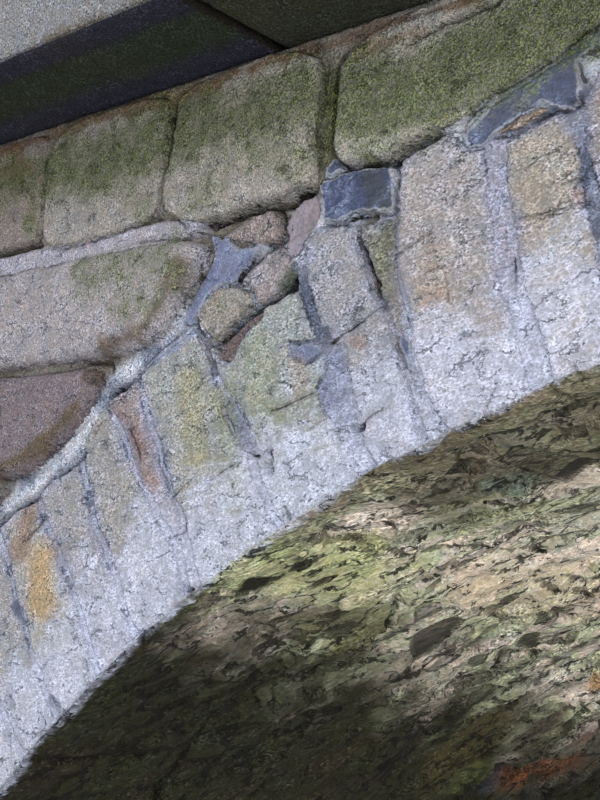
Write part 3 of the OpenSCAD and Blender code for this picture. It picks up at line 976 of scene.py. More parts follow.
def faceLayout(x, h, quarter):
    # the attributes of one quarter of the face: ring, mortar fillet and coursed wall
    measured, seed = quarter["measured"], quarter["seed"]
    points = flat(x, h, seed * 2.3)
    ring = ringLayout(x, h, quarter)
    wall = wallLayout(x, h, quarter["stones"], seed + 40)
    radius = ring["radius"]
    drawn = wall["owner"] >= len(quarter["stones"]) - quarter["drawn"]
    wallEdge = np.where(drawn, wall["edge"], np.minimum(wall["edge"], radius - fillet["wallEdge"]))
    ringEdge = np.minimum(ring["edge"], np.where(drawn, -wall["edge"] - 0.0035, 1.0))
    inRing = (ringEdge > wallEdge) & (radius < outerRadius + 0.004)
    nearRing = radius < outerRadius - 0.03
    use = inRing | (nearRing & (wallEdge < 0))
    edge = np.where(use, ringEdge, wallEdge)
    out = {"edge": edge}
    for key in ("face", "round", "slaty", "smooth"):
        out[key] = np.where(use, ring[key], wall[key])
    bedShare = ease(radius, *fillet["bed"])
    filletBed = -0.004 + noise(points, 0.05, seed + 51) * 0.003
    out["bed"] = np.where(nearRing, ring["bed"], blend(filletBed, wall["bed"], bedShare))
    filletTint = blend(np.tile(fillet["tint"], (len(x), 1)), fillet["dark"],
                       ease(noise(points, 0.06, seed + 52), 0.1, 0.7) * 0.8)
    mortar = blend(filletTint, wall["mortar"], bedShare)
    mortar = blend(ring["mortar"], mortar, ease(radius, *fillet["mortar"]))
    if measured:                                # the flush pale bed between the first two courses
        pale = ease(h, 2.756, 2.766) * (1 - ease(h, 2.796, 2.808)) * (x < -1.44) * (x > -2.5)
        mortar = blend(mortar, bedMortar, pale)
        out["bed"] = blend(out["bed"], 0.003, pale)
        out["bed"] = np.where(h > 2.81, np.maximum(out["bed"], 0.001), out["bed"])
    tint = np.where(use[:, None], ring["stoneTint"], wall["stoneTint"])
    groove = np.zeros(len(x))
    hollow = np.zeros(len(x))
    moss = np.zeros(len(x))
    cracks = noCracks(len(x))
    breakUp = noise(points, 0.05, seed + 53)
    if measured:
        every = np.arange(len(x))
        wander = noise(points, 0.015, seed + 54, 2) * 0.0016
        for width, depth, dark, line in haunchCracks:
            side, past = besideOf(x + wander, h + wander, placesOf(line))
            away = np.abs(side)
            deep = depth * (1.0 if width > 0.0045 else 0.35)
            groove = np.maximum(groove, (1 - ease(away, width * 0.3, width * 0.8 + 0.003)) * deep)
            # painted shade: a soft dark band round each crack, wider than its groove
            hollow = np.maximum(hollow, (1 - ease(away, 0, width + 0.007)) * dark * 0.30)
            addCrack(cracks, every, side, max(width / 2, 0.0011), dark * (1 - ease(past, 0, 0.003)))
        for width, strength, colour, line in haunchStainsAndShadows:
            away = farFrom(x, h, placesOf(line)) + breakUp * 0.012
            mask = (1 - ease(away, width * 0.35, width * 1.25)) * strength
            tint = blend(tint, colour, mask)
            mortar = blend(mortar, colour, mask * 0.7)
        for width, strength, line in haunchMoss:
            away = farFrom(x, h, placesOf(line)) + breakUp * 0.016
            moss = np.maximum(moss, (1 - ease(away, width * 0.3, width * 1.75)) * strength)
        away = np.where(x < -2.2, 1.0, 0.0)
    else:
        away = np.ones(len(x))
    patchy = ease(noise(points, 0.22, seed + 55), 0.05, 0.55)
    topMoss = (ease(h, *growth["top"]) * (0.45 + 0.55 * patchy) + patchy * ease(h, *growth["high"])
               * 0.5)
    moss = np.maximum(moss, away * topMoss * (radius > outerRadius + 0.02))
    lowDamp = 1 - ease(h, *growth["damp"])
    lime = 1 - ease(radius - innerRadius + noise(points, 0.08, seed + 56) * 0.05, *growth["lime"])
    lime *= (0.95 if measured else 0.75) * (1 - 0.6 * out["slaty"])
    out.update(rough=np.where(use, 0.75, 1.0), groove=groove, tint=tint, mortar=mortar,
               hollow=hollow, crack=cracks["crack"], crackDark=cracks["crackDark"], moss=moss,
               lime=lime, damp=lowDamp * (0.4 + 0.6 * patchy) * 0.5)
    return out


print("stage: stones measured")


# The underside of the vault: flaking stones laid across it, with the ring stones at each face

vault = {
    "halfWidth": 1.8,
    # painted light: the underside is painted lit up to this border angle and painted dim beyond it
    "border": (32.8, 3.1, 1.5),    # angle where the light ends, at the face and further in
    "ramp": (-5.6, 4.2),       # how softly it ends, in degrees
    "stoneAlong": 0.34,        # across the bridge
    "stoneWide": 0.165,        # along the arc
    "ringReach": 0.365,        # how far the ring stones reach in
    "crag": 0.0022,
    "swell": 0.008,
    "shelves": 1.7,            # broken layers in each unit of the rough height
    "plateRise": 0.0080,
    "drawn": 1.9,              # how much longer than wide the flakes are
    "across": (0.57, 0.82),    # sine and cosine of how far they lean from y to the arc
    "facets": [(0.130, 0.10, 0.007), (0.052, 0.13, 0.0035)],   # size, slope and step of each kind
    # colours of the painted lit side, of the band along the face, then of the painted dim side
    "green": seen(196, 200, 168), "pink": seen(226, 213, 200), "grey": seen(158, 157, 140),
    "arris": seen(104, 95, 80),
    "dim": seen(40, 43, 24), "dimBrown": seen(50, 42, 28),
}

# Colour on the left of the vault: depth from the face, angle, reach of both, tint, strength
vaultZones = [
    (0.16, 21.5, 0.34, 6.2, seen(98, 92, 74), 0.85),
    (0.3, 25.5, 0.14, 1.6, seen(112, 116, 88), 0.6),
    (0.275, 23.2, 0.07, 1.0, seen(118, 136, 122), 0.5),
    (0.2, 30.6, 0.26, 3.0, seen(190, 198, 136), 0.6),
    (0.62, 29.6, 0.22, 2.0, seen(224, 206, 184), 0.6),
    (1.0, 30.5, 0.4, 3, seen(222, 200, 176), 0.5), (0.42, 34.4, 0.24, 1.8, seen(92, 90, 52), 0.6),
    (1.45, 38.9, 0.14, 1.7, seen(224, 216, 204), 0.8),
    (1.45, 45.5, 0.2, 4.6, seen(92, 84, 50), 0.6), (1.6, 48.5, 0.13, 2.0, seen(94, 104, 58), 0.5),
    (1.68, 39.0, 0.08, 0.9, seen(176, 132, 76), 0.8), (1.7, 44.0, 0.08, 3.2, seen(70, 56, 48), 0.8),
    (1.74, 48.8, 0.06, 1.6, seen(66, 70, 82), 0.8),
    (2.1, 47.0, 0.28, 5.2, seen(118, 112, 104), 0.5),
    (2.02, 44.5, 0.1, 1.7, seen(124, 94, 84), 0.6), (2.0, 48.5, 0.24, 1.8, seen(130, 78, 46), 0.8),
]

# Readings there in steps of 1.3 mm from a corner: in from the face, then along the arc
vaultReading = {"step": 0.0013, "corner": (-0.05, 0.8168)}

# Rubble, or smooth flakes where negative: depth from the face, angle, reach of both, amount
vaultRubble = [
    (0.25, 22.2, 0.16, 1.6, 1.2), (0.13, 26.5, 0.12, 1.8, 0.9), (0.33, 28.8, 0.08, 0.7, 1.2),
    (0.08, 32.2, 0.07, 1.8, 1.0), (0.36, 34.4, 0.2, 1.3, 1.1), (0.6, 32.4, 0.12, 1.3, 1.0),
    (1.0, 34.6, 0.16, 2.4, 1.0), (0.72, 33.0, 0.1, 0.6, 0.9), (0.52, 27.0, 0.1, 0.6, 0.9),
    (0.27, 30.4, 0.08, 1.4, -1.4), (0.46, 31.4, 0.06, 2.2, -1.4), (0.78, 29.2, 0.18, 1.6, -1.2),
    (0.84, 35.0, 0.09, 1.8, -1.3), (0.55, 25.5, 0.12, 1.2, -1.0), (0.16, 23.5, 0.1, 0.9, -0.8),
    (0.45, 38.0, 0.1, 2.0, -1.0),
]

# Broken pockets: depth, which is little so that they are seen whole, how dark they are painted in
# place of the shade a deeper hollow would hold, and the outline
vaultPockets = [
    (0.0036, 0.8, [265, 100, 300, 92, 330, 150, 300, 150]),
    (0.00096, 0.35, [155, 110, 265, 98, 298, 150, 170, 142]),
    (0.0024, 0.85, [128, 420, 145, 415, 158, 428, 155, 440, 135, 442]),
    (0.0036, 0.9, [90, 465, 130, 460, 137, 480, 130, 500, 110, 505, 88, 480]),
    (0.0018, 0.8, [178, 433, 188, 435, 187, 450, 179, 447]),
    (0.0024, 0.8, [212, 445, 228, 440, 228, 470, 216, 482, 208, 460]),
    (0.0018, 0.8, [320, 535, 335, 530, 335, 550, 318, 552]),
    (0.00144, 0.45, [455, 490, 500, 488, 520, 500, 538, 520, 520, 550, 480, 520]),
    (0.0024, 0.7, [375, 555, 400, 560, 405, 585, 385, 600, 350, 575]),
    (0.00504, 0.75, [560, 575, 580, 540, 600, 533, 625, 535, 655, 590, 655, 640, 640, 655, 590, 620,
        562, 595]),
    (0.0024, 0.75, [800, 485, 840, 475, 865, 487, 860, 500, 815, 500]),
    (0.0018, 0.7, [812, 512, 850, 512, 860, 530, 830, 540]),
    (0.0024, 0.75, [848, 570, 885, 560, 935, 600, 925, 612, 870, 605]),
    (0.0018, 0.7, [1062, 590, 1090, 588, 1105, 612, 1070, 610]),
    (0.0024, 0.6, [790, 645, 830, 640, 850, 665, 830, 680, 800, 665]),
    (0.0024, 0.5, [945, 735, 990, 750, 1000, 790, 965, 810, 930, 770]),
    (0.00144, 0.7, [785, 423, 810, 420, 820, 432, 795, 434]),
    (0.00144, 0.5, [435, 205, 470, 195, 485, 205, 450, 225]),
    (0.0018, 0.6, [660, 455, 685, 465, 685, 490, 665, 495]),
]

# Cracks: width, which takes in the painted shadow under their lip, how dark they are, and the line
vaultCracks = [
    (0.012, 0.95, [60, 330, 95, 330, 130, 370, 150, 385, 190, 362, 205, 378, 250, 373, 290, 378,
        320, 362, 345, 345, 385, 325, 425, 330, 440, 355, 480, 350, 530, 330, 600, 325, 660, 300]),
    (0.0085, 0.95, [155, 250, 200, 238, 260, 232, 330, 218]),
    (0.007, 0.9, [370, 205, 385, 240, 420, 260]),
    (0.01, 0.95, [590, 440, 640, 432, 740, 425, 800, 420, 850, 435]),
    (0.008, 0.9, [300, 690, 340, 640, 360, 600, 400, 600]),
    (0.009, 0.85, [320, 700, 322, 780, 330, 860, 345, 950, 340, 1000]),
    (0.007, 0.9, [430, 620, 445, 670, 450, 710]), (0.008, 0.9, [905, 640, 915, 680, 900, 710]),
    (0.008, 0.9, [860, 610, 880, 650, 905, 700, 940, 720]),
    (0.008, 0.85, [250, 760, 262, 840, 300, 850]),
    (0.01, 0.85, [900, 775, 870, 830, 890, 870, 950, 900, 960, 950, 1000, 1060]),
    (0.009, 0.85, [700, 870, 730, 910, 780, 890, 830, 850]),
    (0.008, 0.9, [430, 420, 420, 470, 440, 540, 470, 570]),
    (0.007, 0.9, [545, 455, 560, 480, 550, 520]), (0.01, 0.8, [1120, 700, 1150, 820, 1120, 960]),
]

# Pale broken ridges, a painted highlight where their edges catch the light: width and line
vaultRidges = [
    (0.012, [690, 490, 735, 510, 760, 550]), (0.014, [780, 560, 840, 600, 880, 680]),
    (0.01, [440, 425, 430, 470, 450, 535, 478, 562]), (0.01, [540, 450, 552, 480, 542, 518]),
    (0.012, [100, 318, 140, 358, 190, 350]), (0.012, [340, 335, 420, 318, 520, 322, 600, 314]),
    (0.01, [600, 428, 700, 418, 790, 410]), (0.012, [560, 530, 600, 522, 640, 545, 664, 590]),
]


def cellStones(u, v, longU, longV, seed):
    # irregular stones of about longU by longV: depth inside, number of the stone, its centre
    row = np.floor(v / longV)
    nearest = np.full(u.shape, 1e9)
    second = np.full(u.shape, 1e9)
    owner = np.zeros(u.shape, np.int64)
    centreU = np.zeros(u.shape)
    centreV = np.zeros(u.shape)
    for dv in (-1, 0, 1):
        r = row + dv
        shifted = u / longU - (np.mod(r, 2) * 0.5)
        column = np.floor(shifted)
        for du in (-1, 0, 1):
            c = column + du
            ci, ri = c.astype(np.int64), r.astype(np.int64)
            zero = np.zeros_like(ci)
            cu = (c + 0.5 + np.mod(r, 2) * 0.5 + 0.34 * cornerValue(ci, ri, zero, seed)) * longU
            cv = (r + 0.5 + 0.22 * cornerValue(ci, ri, zero, seed + 1)) * longV
            away = np.maximum(np.abs(u - cu) / longU, np.abs(v - cv) / longV * 0.93)
            away = away * 0.75 + 0.25 * np.hypot((u - cu) / longU, (v - cv) / longV)
            closer = away < nearest
            second = np.where(closer, nearest, np.minimum(second, away))
            nearest = np.where(closer, away, nearest)
            owner = np.where(closer, ci * 7919 + ri * 104729, owner)
            centreU = np.where(closer, cu, centreU)
            centreV = np.where(closer, cv, centreV)
    return (second - nearest) * min(longU, longV) * 0.55, owner, centreU, centreV


def drawOf(owner, salt):
    # one random value from -1 to 1 for each stone number
    return cornerValue(owner, owner * 0 + 3, owner * 0 + salt, 17)


def ringUnderside(angle, y, deep, near, wander, shut, cracks, quarters):
    # the ring stones as seen from below: how deep in its stone a point is, and how far out
    edge = np.full(len(y), 1.0)
    face = np.zeros(len(y))
    for (left, front), quarter in quarters.items():
        mine = np.nonzero(((angle >= 0) == left) & ((y < 0) == front) & near)[0]
        if not len(mine):
            continue
        spot = np.abs(angle[mine]) + wander[mine] * 0.10
        places = np.array([np.interp(innerRadius, j["radii"], j["angles"])
                           for j in quarter["joints"]])
        signed = (spot[None, :] - places[:, None]) * math.pi / 180 * innerRadius
        nearest = np.argmin(np.abs(signed), axis=0)
        beside = np.take_along_axis(signed, nearest[None, :], axis=0)[0]
        number = np.sum(places[:, None] < spot[None, :], axis=0)
        random = np.random.default_rng(quarter["seed"] + 9)
        faces = random.normal(0, 0.004, len(places) + 1)
        tilts = random.normal(0, 0.02, len(places) + 1)
        edge[mine] = np.abs(beside) - 0.004 + shut[mine] * (1.0 if quarter["measured"] else 0.6)
        face[mine] = faces[number] + (deep[mine] - 0.18) * tilts[number]
        if not quarter["measured"]:
            addCrack(cracks, mine, beside, 0.0016, 0.8 * (shut[mine] < 0.014))
    return edge, face


def addReadings(fields, cracks, angle, y, wander, waver):
    # adds to the vault what was measured on its left: colours, ridges, pockets and cracks
    s = np.nonzero((angle > 0) & (y < 0.9))[0]
    depth, place = vault["halfWidth"] + y[s], angle[s]
    along = place * math.pi / 180 * innerRadius
    part = {key: fields[key][s] for key in ("tint", "face", "groove", "hollow", "pitted")}
    part["pitted"] *= ease(depth, 1.3, 1.6)
    for d, a, rd, ra, colour, strength in vaultZones:
        away = np.hypot((depth - d) / rd, (place - a) / ra) + wander[s] * 0.3
        part["tint"] = blend(part["tint"], colour, (1 - ease(away, 0.45, 1.15)) * strength)
    u, v = depth + wander[s] * 0.003, along + waver[s] * 0.003
    for width, line in vaultRidges:
        ridge = 1 - ease(farFrom(u, v, placesOf(line, **vaultReading)), 0, width)
        # painted highlight along the ridge
        part["tint"] = blend(part["tint"], seen(204, 196, 180), ridge * 0.7)
        part["face"] += ridge * 0.004
    for down, dark, outline in vaultPockets:
        inner = insideOf(u, v, placesOf(outline, **vaultReading))
        part["groove"] = np.maximum(part["groove"], ease(inner, -0.002, 0.006) * down)
        part["face"] *= 1 - 0.85 * ease(inner, -0.045, -0.004)      # calm round the pocket
        # painted shade: each pocket is painted dark in place of the shade of a deep hollow
        part["hollow"] = np.maximum(part["hollow"],
                                    ease(inner, -0.002, 0.004) * min(dark * 1.15, 0.98))
        addCrack(cracks, s, inner, 0.0028, 1.0)
    for width, dark, line in vaultCracks:
        side, past = besideOf(u, v, placesOf(line, **vaultReading))
        part["groove"] = np.maximum(part["groove"], (1 - ease(np.abs(side), 0.001, width)) * 0.006)
        # painted shadow: a dark band along each crack, as wide as the shadow under its lip
        part["hollow"] = np.maximum(part["hollow"], (1 - ease(np.abs(side), 0, width)) * dark * 0.5)
        addCrack(cracks, s, side, width / 2, 1.0 - ease(past, 0, 0.006))
    for key in part:
        fields[key][s] = part[key]


def vaultLayout(angle, y, quarters):
    # the attributes of the underside: angle left of the crown in degrees, y across the bridge
    arc = angle * math.pi / 180 * innerRadius
    points = np.stack([arc, y, np.zeros_like(y)], axis=1)
    wander = noise(points, 0.10, 301, 3)
    waver = noise(points, 0.10, 302, 3)
    edge, owner, cu, cv = cellStones(y + wander * 0.022, arc + waver * 0.016, vault["stoneAlong"],
                                     vault["stoneWide"], 31)
    shut = ease(noise(points, 0.22, 307, 2), -0.5, 0.4) * 0.020      # joints run full of lime
    edge = edge - 0.005 + shut
    lean = ((y - cu) * drawOf(owner, 1) * 0.05 + (arc - cv) * drawOf(owner, 2) * 0.08)
    face = np.clip(lean, -0.010, 0.010) + drawOf(owner, 3) * 0.005
    deep = vault["halfWidth"] - np.abs(y)       # distance from the nearer face
    inside = np.where(y < 0.2, vault["halfWidth"] + y, 2.0 - 1.25 * (y - 0.2))
    outer, further, furthest = vault["border"]
    border = outer + further * inside + furthest * inside ** 2
    border = border - 3 * (1 - ease(inside, 0.02, 0.14))
    leaned = np.abs(arc)
    sine, cosine = vault["across"]
    lengthwise = (y * sine - leaned * cosine) / vault["drawn"]
    across = y * cosine + leaned * sine
    flaky = np.stack([lengthwise, across, np.zeros_like(y)], axis=1)
    broken = noise(flaky, 0.035, 308, 4, 0.6)
    # painted light: how far a point lies on the painted lit side of the border
    light = ease(border - np.abs(angle) + wander * 2.4 + broken * 1.8, *vault["ramp"])
    cracks = noCracks(len(y))
    every = np.arange(len(y))
    parted = 1 - ease(noise(points, 0.12, 314, 2), -0.15, 0.20)
    flakes = np.zeros(len(y))
    lower = np.zeros(len(y))
    hue = noise(flaky, 0.085, 309, 4, 0.6) * 0.7
    shade = 0.10 * drawOf(owner, 4) + 0.16 * broken
    for n, (size, slope, step) in enumerate(vault["facets"]):
        warp = size * 0.28
        broke, which, fu, fv = cellStones(lengthwise + wander * warp, across + waver * warp, size,
                                          size, 320 + n)
        plane = ((lengthwise - fu) * drawOf(which, 7) + (across - fv) * drawOf(which, 8)) * slope
        plane += drawOf(which, 9) * step
        flakes = flakes + plane
        lower = lower + ease(-plane, 0, step * 2) * (1 - ease(broke, 0, 0.008))
        hue = hue + 0.22 * drawOf(which, 11)
        shade = shade + 0.13 * drawOf(which, 12)
        addCrack(cracks, every, broke + parted * 0.02, 0.0024, 0.9)
    rubble = noise(points, 0.10, 313, 3) - 0.02
    if (angle > 0).any():                       # the part that was measured
        for d, a, rd, ra, amount in vaultRubble:
            away = np.hypot((vault["halfWidth"] + y - d) / rd, (angle - a) / ra) + broken * 0.5
            rubble = rubble + (1 - ease(away, 0.5, 1.2)) * amount * 0.3
    rubble = ease(rubble, 0.0, 0.2)
    lit = blend(np.tile(vault["green"], (len(y), 1)), vault["pink"], ease(hue, -0.08, 0.14))
    lit = blend(lit, vault["grey"], ease(noise(flaky, 0.060, 312, 4, 0.6), 0.05, 0.40) * 0.8)
    dim = blend(np.tile(vault["dim"], (len(y), 1)), vault["dimBrown"], ease(hue, 0.1, 0.6) * 0.7)
    lit = blend(lit, vault["arris"], (1 - ease(deep + wander * 0.02, 0.035, 0.085)) * 0.8
                * (1 - ease(np.abs(angle), 25.5, 28.5)))
    # painted light and shade: lit colours on one side, dim ones on the other, and stone-to-stone
    # changes stronger where painted lit
    tint = blend(dim, lit, light)
    tint = tint * (1 + shade * (0.35 + 0.65 * light))[:, None]
    reach = vault["ringReach"] + noise(np.stack([arc, y * 0, y * 0], 1), 0.3, 305, 2) * 0.03
    inward = reach - deep
    ringEdge, ringFace = ringUnderside(angle, y, deep, inward > -0.05, wander, shut, cracks,
                                       quarters)
    inRing = inward > 0
    edge = np.where(inRing, np.minimum(ringEdge, inward - 0.003 + shut),
                    np.minimum(edge, -inward - 0.003 + shut))
    near = ease(deep, 0.010, 0.13)
    face = np.where(inRing, ringFace, face) + flakes
    crag = noise(flaky, 0.036, 303, 3, 0.5)
    swell = noise(points, 0.16, 310, 2)
    shelf = (noise(flaky + wander[:, None] * 0.02, 0.085, 304, 4, 0.55)
             + 0.3 * waver) * vault["shelves"]
    step = np.mod(shelf, 1.0)
    plates = np.floor(shelf) + ease(step, 0.86, 1.0)
    lip = ease(step, 0.78, 0.92) * (1 - ease(step, 0.94, 1.0))
    face = (face + crag * vault["crag"] + swell * vault["swell"]
            + plates * vault["plateRise"]) * near
    # painted shade: darker near the stone joints, below each shelf step (lip) and where a flake
    # dips at its edge (lower)
    hollow = (0.35 * (1 - ease(edge, -0.003, 0.004)) + 0.25 * lip + 0.35 * lower) * near
    pitted = ease(noise(points, 0.075, 311, 3), 0.62, 0.78) * near
    lime = (1 - ease(deep + wander * 0.012, 0.004, 0.030)) * 0.7
    fields = {"tint": tint, "face": face, "groove": np.zeros(len(y)), "hollow": hollow,
              "pitted": pitted}
    if (angle > 0).any():
        addReadings(fields, cracks, angle, y, wander, waver)
    pitted = fields.pop("pitted")
    fields["groove"] = np.maximum(fields["groove"], pitted * 0.020)
    # painted shade in the pits
    fields["hollow"] = np.maximum(fields["hollow"], pitted * 0.7)
    patchy = ease(noise(points, 0.3, 306), 0.0, 0.6)
    # the damp mask here is only painted shade, on the painted dim side; moss grows heavier on the
    # painted lit side
    return {**fields, "edge": edge, "round": 0.014, "bed": -0.009 + crag * 0.004,
            "rough": 0.35 + 0.6 * near * rubble, "mortar": fields["tint"] * 0.7, "slaty": 0.0,
            "smooth": (1 - rubble) * near * 0.70, "crack": cracks["crack"],
            "crackDark": cracks["crackDark"] * (0.4 + 0.6 * near), "lime": lime,
            "moss": patchy * (0.10 + 0.10 * light) * near, "damp": (1 - light) * 0.15 * near}


# Pieces of the arch

# sizes of the grid: at the measured face and behind it, on the other rings, and on the vault
arch = {"fine": 0.0049, "fineDeep": 0.0062, "plain": (0.011, 0.016), "middling": 0.015,
        "hidden": 0.002, "vaultFine": 0.0060, "vaultDeep": 0.0100, "vaultPlain": 0.026}
archShape = {"Lump Size": 0.055, "Lump Height": 0.0045, "Grain Size": 0.012, "Grain Height": 0.0016,
             "Chip Size": 0.03, "Edge Chips": 0.008, "Seed": 3.0}


def angleLines(marks):
    # angles from the crown in degrees, spaced as lengths along the middle of the ring
    turn = 180 / math.pi / (innerRadius + bridge["ringDepth"] / 2)
    return ruler([(a, None if gap is None else gap * turn) for a, gap in marks])


def carried(angles, radius, y, outR, outY):
    # a profile carried round the arch: angle, radius, y and height above the arch centre of
    # each point, and the points and outward directions themselves
    rows = len(angles)
    a = np.repeat(angles, len(radius))
    r, y, outR, outY = (np.tile(values, rows) for values in (radius, y, outR, outY))
    bend = a * math.pi / 180
    h = r * np.cos(bend)
    points = np.stack([-r * np.sin(bend), y, archZ + h], axis=1)
    outward = np.stack([-outR * np.sin(bend), outY, outR * np.cos(bend)], axis=1)
    return a, r, y, h, points, outward


def ringPiece(name, quarter, angles, faceGap, soffitGap, quarters, mirrored):
    # a closed sweep: down the face, round the worn arris, in along the underside, hidden behind
    edge = bridge["arrisRound"]
    faceR = ruler([(0, faceGap), (outerRadius + arch["hidden"] - innerRadius - edge, None)])
    faceR = (outerRadius + arch["hidden"] - faceR)[:-1]
    turn = np.linspace(0, math.pi / 2, 7)
    underY = ruler([(faceY + edge, soffitGap), (ringBackY + 0.001, None)])[1:]
    radius = np.concatenate([faceR, innerRadius + edge - edge * np.sin(turn),
                             np.full(len(underY), innerRadius), [innerRadius + 0.08, outerRadius]])
    y = np.concatenate([np.full(len(faceR), faceY), faceY + edge - edge * np.cos(turn), underY,
                        [ringBackY, ringBackY]])
    outR = np.concatenate([np.zeros(len(faceR)), -np.sin(turn), -np.ones(len(underY)), [0, 0]])
    outY = np.concatenate([-np.ones(len(faceR)), -np.cos(turn), np.zeros(len(underY)), [0, 0]])
    faceCount = len(faceR) + len(turn) // 2             # half of the arris is the face's
    onSoffit = np.tile(np.arange(len(radius)) >= faceCount, len(angles))
    rows, columns = len(angles), len(radius)
    a, r, y, h, points, outward = carried(angles, radius, y, outR, outY)
    front = faceLayout(points[:, 0], h, quarter)
    across, along = (-1.0 if flip else 1.0 for flip in mirrored)
    under = vaultLayout(a * across, y * along, quarters)
    fields = {"under": onSoffit}
    for key in front:
        mask = onSoffit[:, None] if key in ("tint", "mortar") else onSoffit
        fields[key] = np.where(mask, under[key], front[key])
    chip = np.clip(noise(points, 0.07, quarter["seed"] + 70, 3) - 0.10, 0, 1) * 0.030
    nearArris = np.exp(-(np.hypot(r - innerRadius, y - faceY) / 0.030) ** 2)
    fields["groove"] = fields["groove"] + chip * nearArris
    points, outward = orient(points, outward, *mirrored)
    return sweptObject(name, points, outward, fields, rows, columns)


def dressUnderside(made, material):
    # the faces of a ring piece that look down take the vault's stone
    mesh = made.data
    under = np.zeros(len(mesh.vertices), np.float32)
    mesh.attributes["under"].data.foreach_get("value", under)
    corners = np.zeros(len(mesh.loops), np.int32)
    mesh.loops.foreach_get("vertex_index", corners)
    starts = np.zeros(len(mesh.polygons), np.int32)
    mesh.polygons.foreach_get("loop_start", starts)
    mesh.materials.append(material)
    lowest = np.minimum.reduceat(under[corners], starts)
    mesh.polygons.foreach_set("material_index", (lowest > 0.5).astype(np.int32))
    mesh.attributes.remove(mesh.attributes["under"])


def vaultPiece(name, angles, marks, quarters):
    # the underside between the two face rings, with a hidden flat back
    y = ruler(marks)
    radius = np.concatenate([np.full(len(y), innerRadius), [outerRadius, outerRadius]])
    outR = np.concatenate([-np.ones(len(y)), [0, 0]])
    y = np.concatenate([y, [-ringBackY, ringBackY]])
    rows, columns = len(angles), len(y)
    a, _, y, _, points, outward = carried(angles, radius, y, outR, np.zeros(len(y)))
    return sweptObject(name, points, outward, vaultLayout(a, y, quarters), rows, columns)


# Pieces of the side walls

sideWall = {"fine": 0.0049, "coarse": 0.024, "inset": 0.020, "corner": 0.012,
            "stoneLengths": (0.26, 0.58), "seam": 4.36}


def wallPath(s):
    # from the crown along the front face, round the corner and along the end: x, y and outward
    length = -endX - sideWall["inset"]
    c = sideWall["corner"]
    turn = np.clip((s - (length - c)) / (c * math.pi / 2), 0, 1) * math.pi / 2
    after = np.maximum(s - (length - c) - c * math.pi / 2, 0)
    reach = sideWall["seam"] - (length - c) - c * math.pi / 2
    after = after / reach * (wallBackY - faceY - c)
    x = -np.minimum(s, length - c) - c * np.sin(turn)
    y = faceY + c - c * np.cos(turn) + after
    return x, y, -np.sin(turn), -np.cos(turn)


def spandrelPiece(name, quarter, sMarks, hMarks, mirrored):
    def inside(s, h):
        return np.minimum(np.hypot(s, h) - outerRadius,
                          np.maximum(s + springerX, h - (springerTopZ - archZ)))

    s, h, quads, triangles = clippedGrid(ruler(sMarks), ruler(hMarks), inside)
    x, y, outX, outY = wallPath(s)
    points = np.stack([x, y, h + archZ], axis=1)
    outward = np.stack([outX, outY, np.zeros(len(s))], axis=1)
    fields = faceLayout(-s, h, quarter)
    fields["face"] = fields["face"] * (1 - 0.6 * ease(s, -endX - 0.4, -endX - 0.1))
    points, outward = orient(points, outward, *mirrored)
    backSide = wallBackY * (-1 if mirrored[1] else 1)
    topH, footH = slabZ, wallFootZ

    def backOf(rim):
        far = rim.copy()
        far[:, 1] = backSide
        return far

    def sideOf(rim):
        side = np.zeros(len(rim), int)
        size = np.abs(rim[:, 0])
        for number, hit in enumerate([size < 1e-5, np.abs(rim[:, 2] - topH) < 1e-5,
                                      np.abs(rim[:, 2] - footH) < 1e-5]):
            side[hit & (side == 0)] = number + 1
        notch = (np.abs(size + springerX) < 1e-5) & (rim[:, 2] < springerTopZ - 1e-5)
        side[notch & (side == 0)] = 4
        return side

    return closedSheet(name, points, outward, quads, triangles, fields, backOf, sideOf)


quarters = {}
for (left, front), shift in {(True, True): 0, (False, True): 5, (True, False): 9,
                             (False, False): 14}.items():
    measured = left and front
    random = np.random.default_rng(shift + 200)
    edge = -sideWall["seam"]
    ends = {0: -2.36, 1: -2.455, 2: -2.315} if measured else {}
    rows = [(low, high, edge, ends.get(n, 0.0)) for n, (low, high) in enumerate(wallCourses)]
    stones = coursedStones(random, rows, sideWall["stoneLengths"],
                           corners=(endX + sideWall["inset"],))
    if measured:
        stones += coursedStones(random, [(2.90, 3.012, -0.60, 0.0)], (0.15, 0.3))
        stones += list(haunch.values())
    quarters[(left, front)] = {
        "name": f"{'front' if front else 'back'}_%s_{'left' if left else 'right'}",
        "joints": jointsOf(shift, measured), "stones": stones, "measured": measured,
        "drawn": len(haunch) if measured else 0, "seed": 100 + shift * 3}

print("stage: layouts ready")


# Blocks with worn edges: slabs, coping stones, springers and the road

def roundedLoop(corners, radius, gaps):
    # an outline with softened corners: points, outward normals, distance to the nearest arris
    c = np.array(corners, float)
    count = len(c)
    edges = np.roll(c, -1, axis=0) - c
    lengths = np.linalg.norm(edges, axis=1)
    edges /= lengths[:, None]
    before = np.roll(edges, 1, axis=0)
    turns = np.arctan2(before[:, 0] * edges[:, 1] - before[:, 1] * edges[:, 0],
                       np.sum(before * edges, axis=1))
    cut = radius * np.tan(turns / 2)
    sharp = turns > 0.45
    points, normals, reach = [], [], []
    for i in range(count):
        after = (i + 1) % count
        e = edges[i]
        n = np.array([e[1], -e[0]])
        old = np.array([before[i][1], -before[i][0]])
        steps = max(1, int(turns[i] / 0.45))
        for k in range(1, steps + 1):           # round the corner
            bend = turns[i] * k / (steps + 1)
            normal = old * math.cos(bend) + np.array([-old[1], old[0]]) * math.sin(bend)
            centre = c[i] - before[i] * cut[i] - old * radius
            points.append(centre + normal * radius)
            normals.append(normal)
            reach.append(0.0)
        span = lengths[i] - cut[i] - cut[after]
        pieces = max(1, round(span / gaps[i]))
        for k in range(pieces + 1):
            along = cut[i] + span * k / pieces
            points.append(c[i] + e * along)
            normals.append(n)
            reach.append(min(along if sharp[i] else 1.0,
                             lengths[i] - along if sharp[after] else 1.0))
    return np.array(points), np.array(normals), np.array(reach)


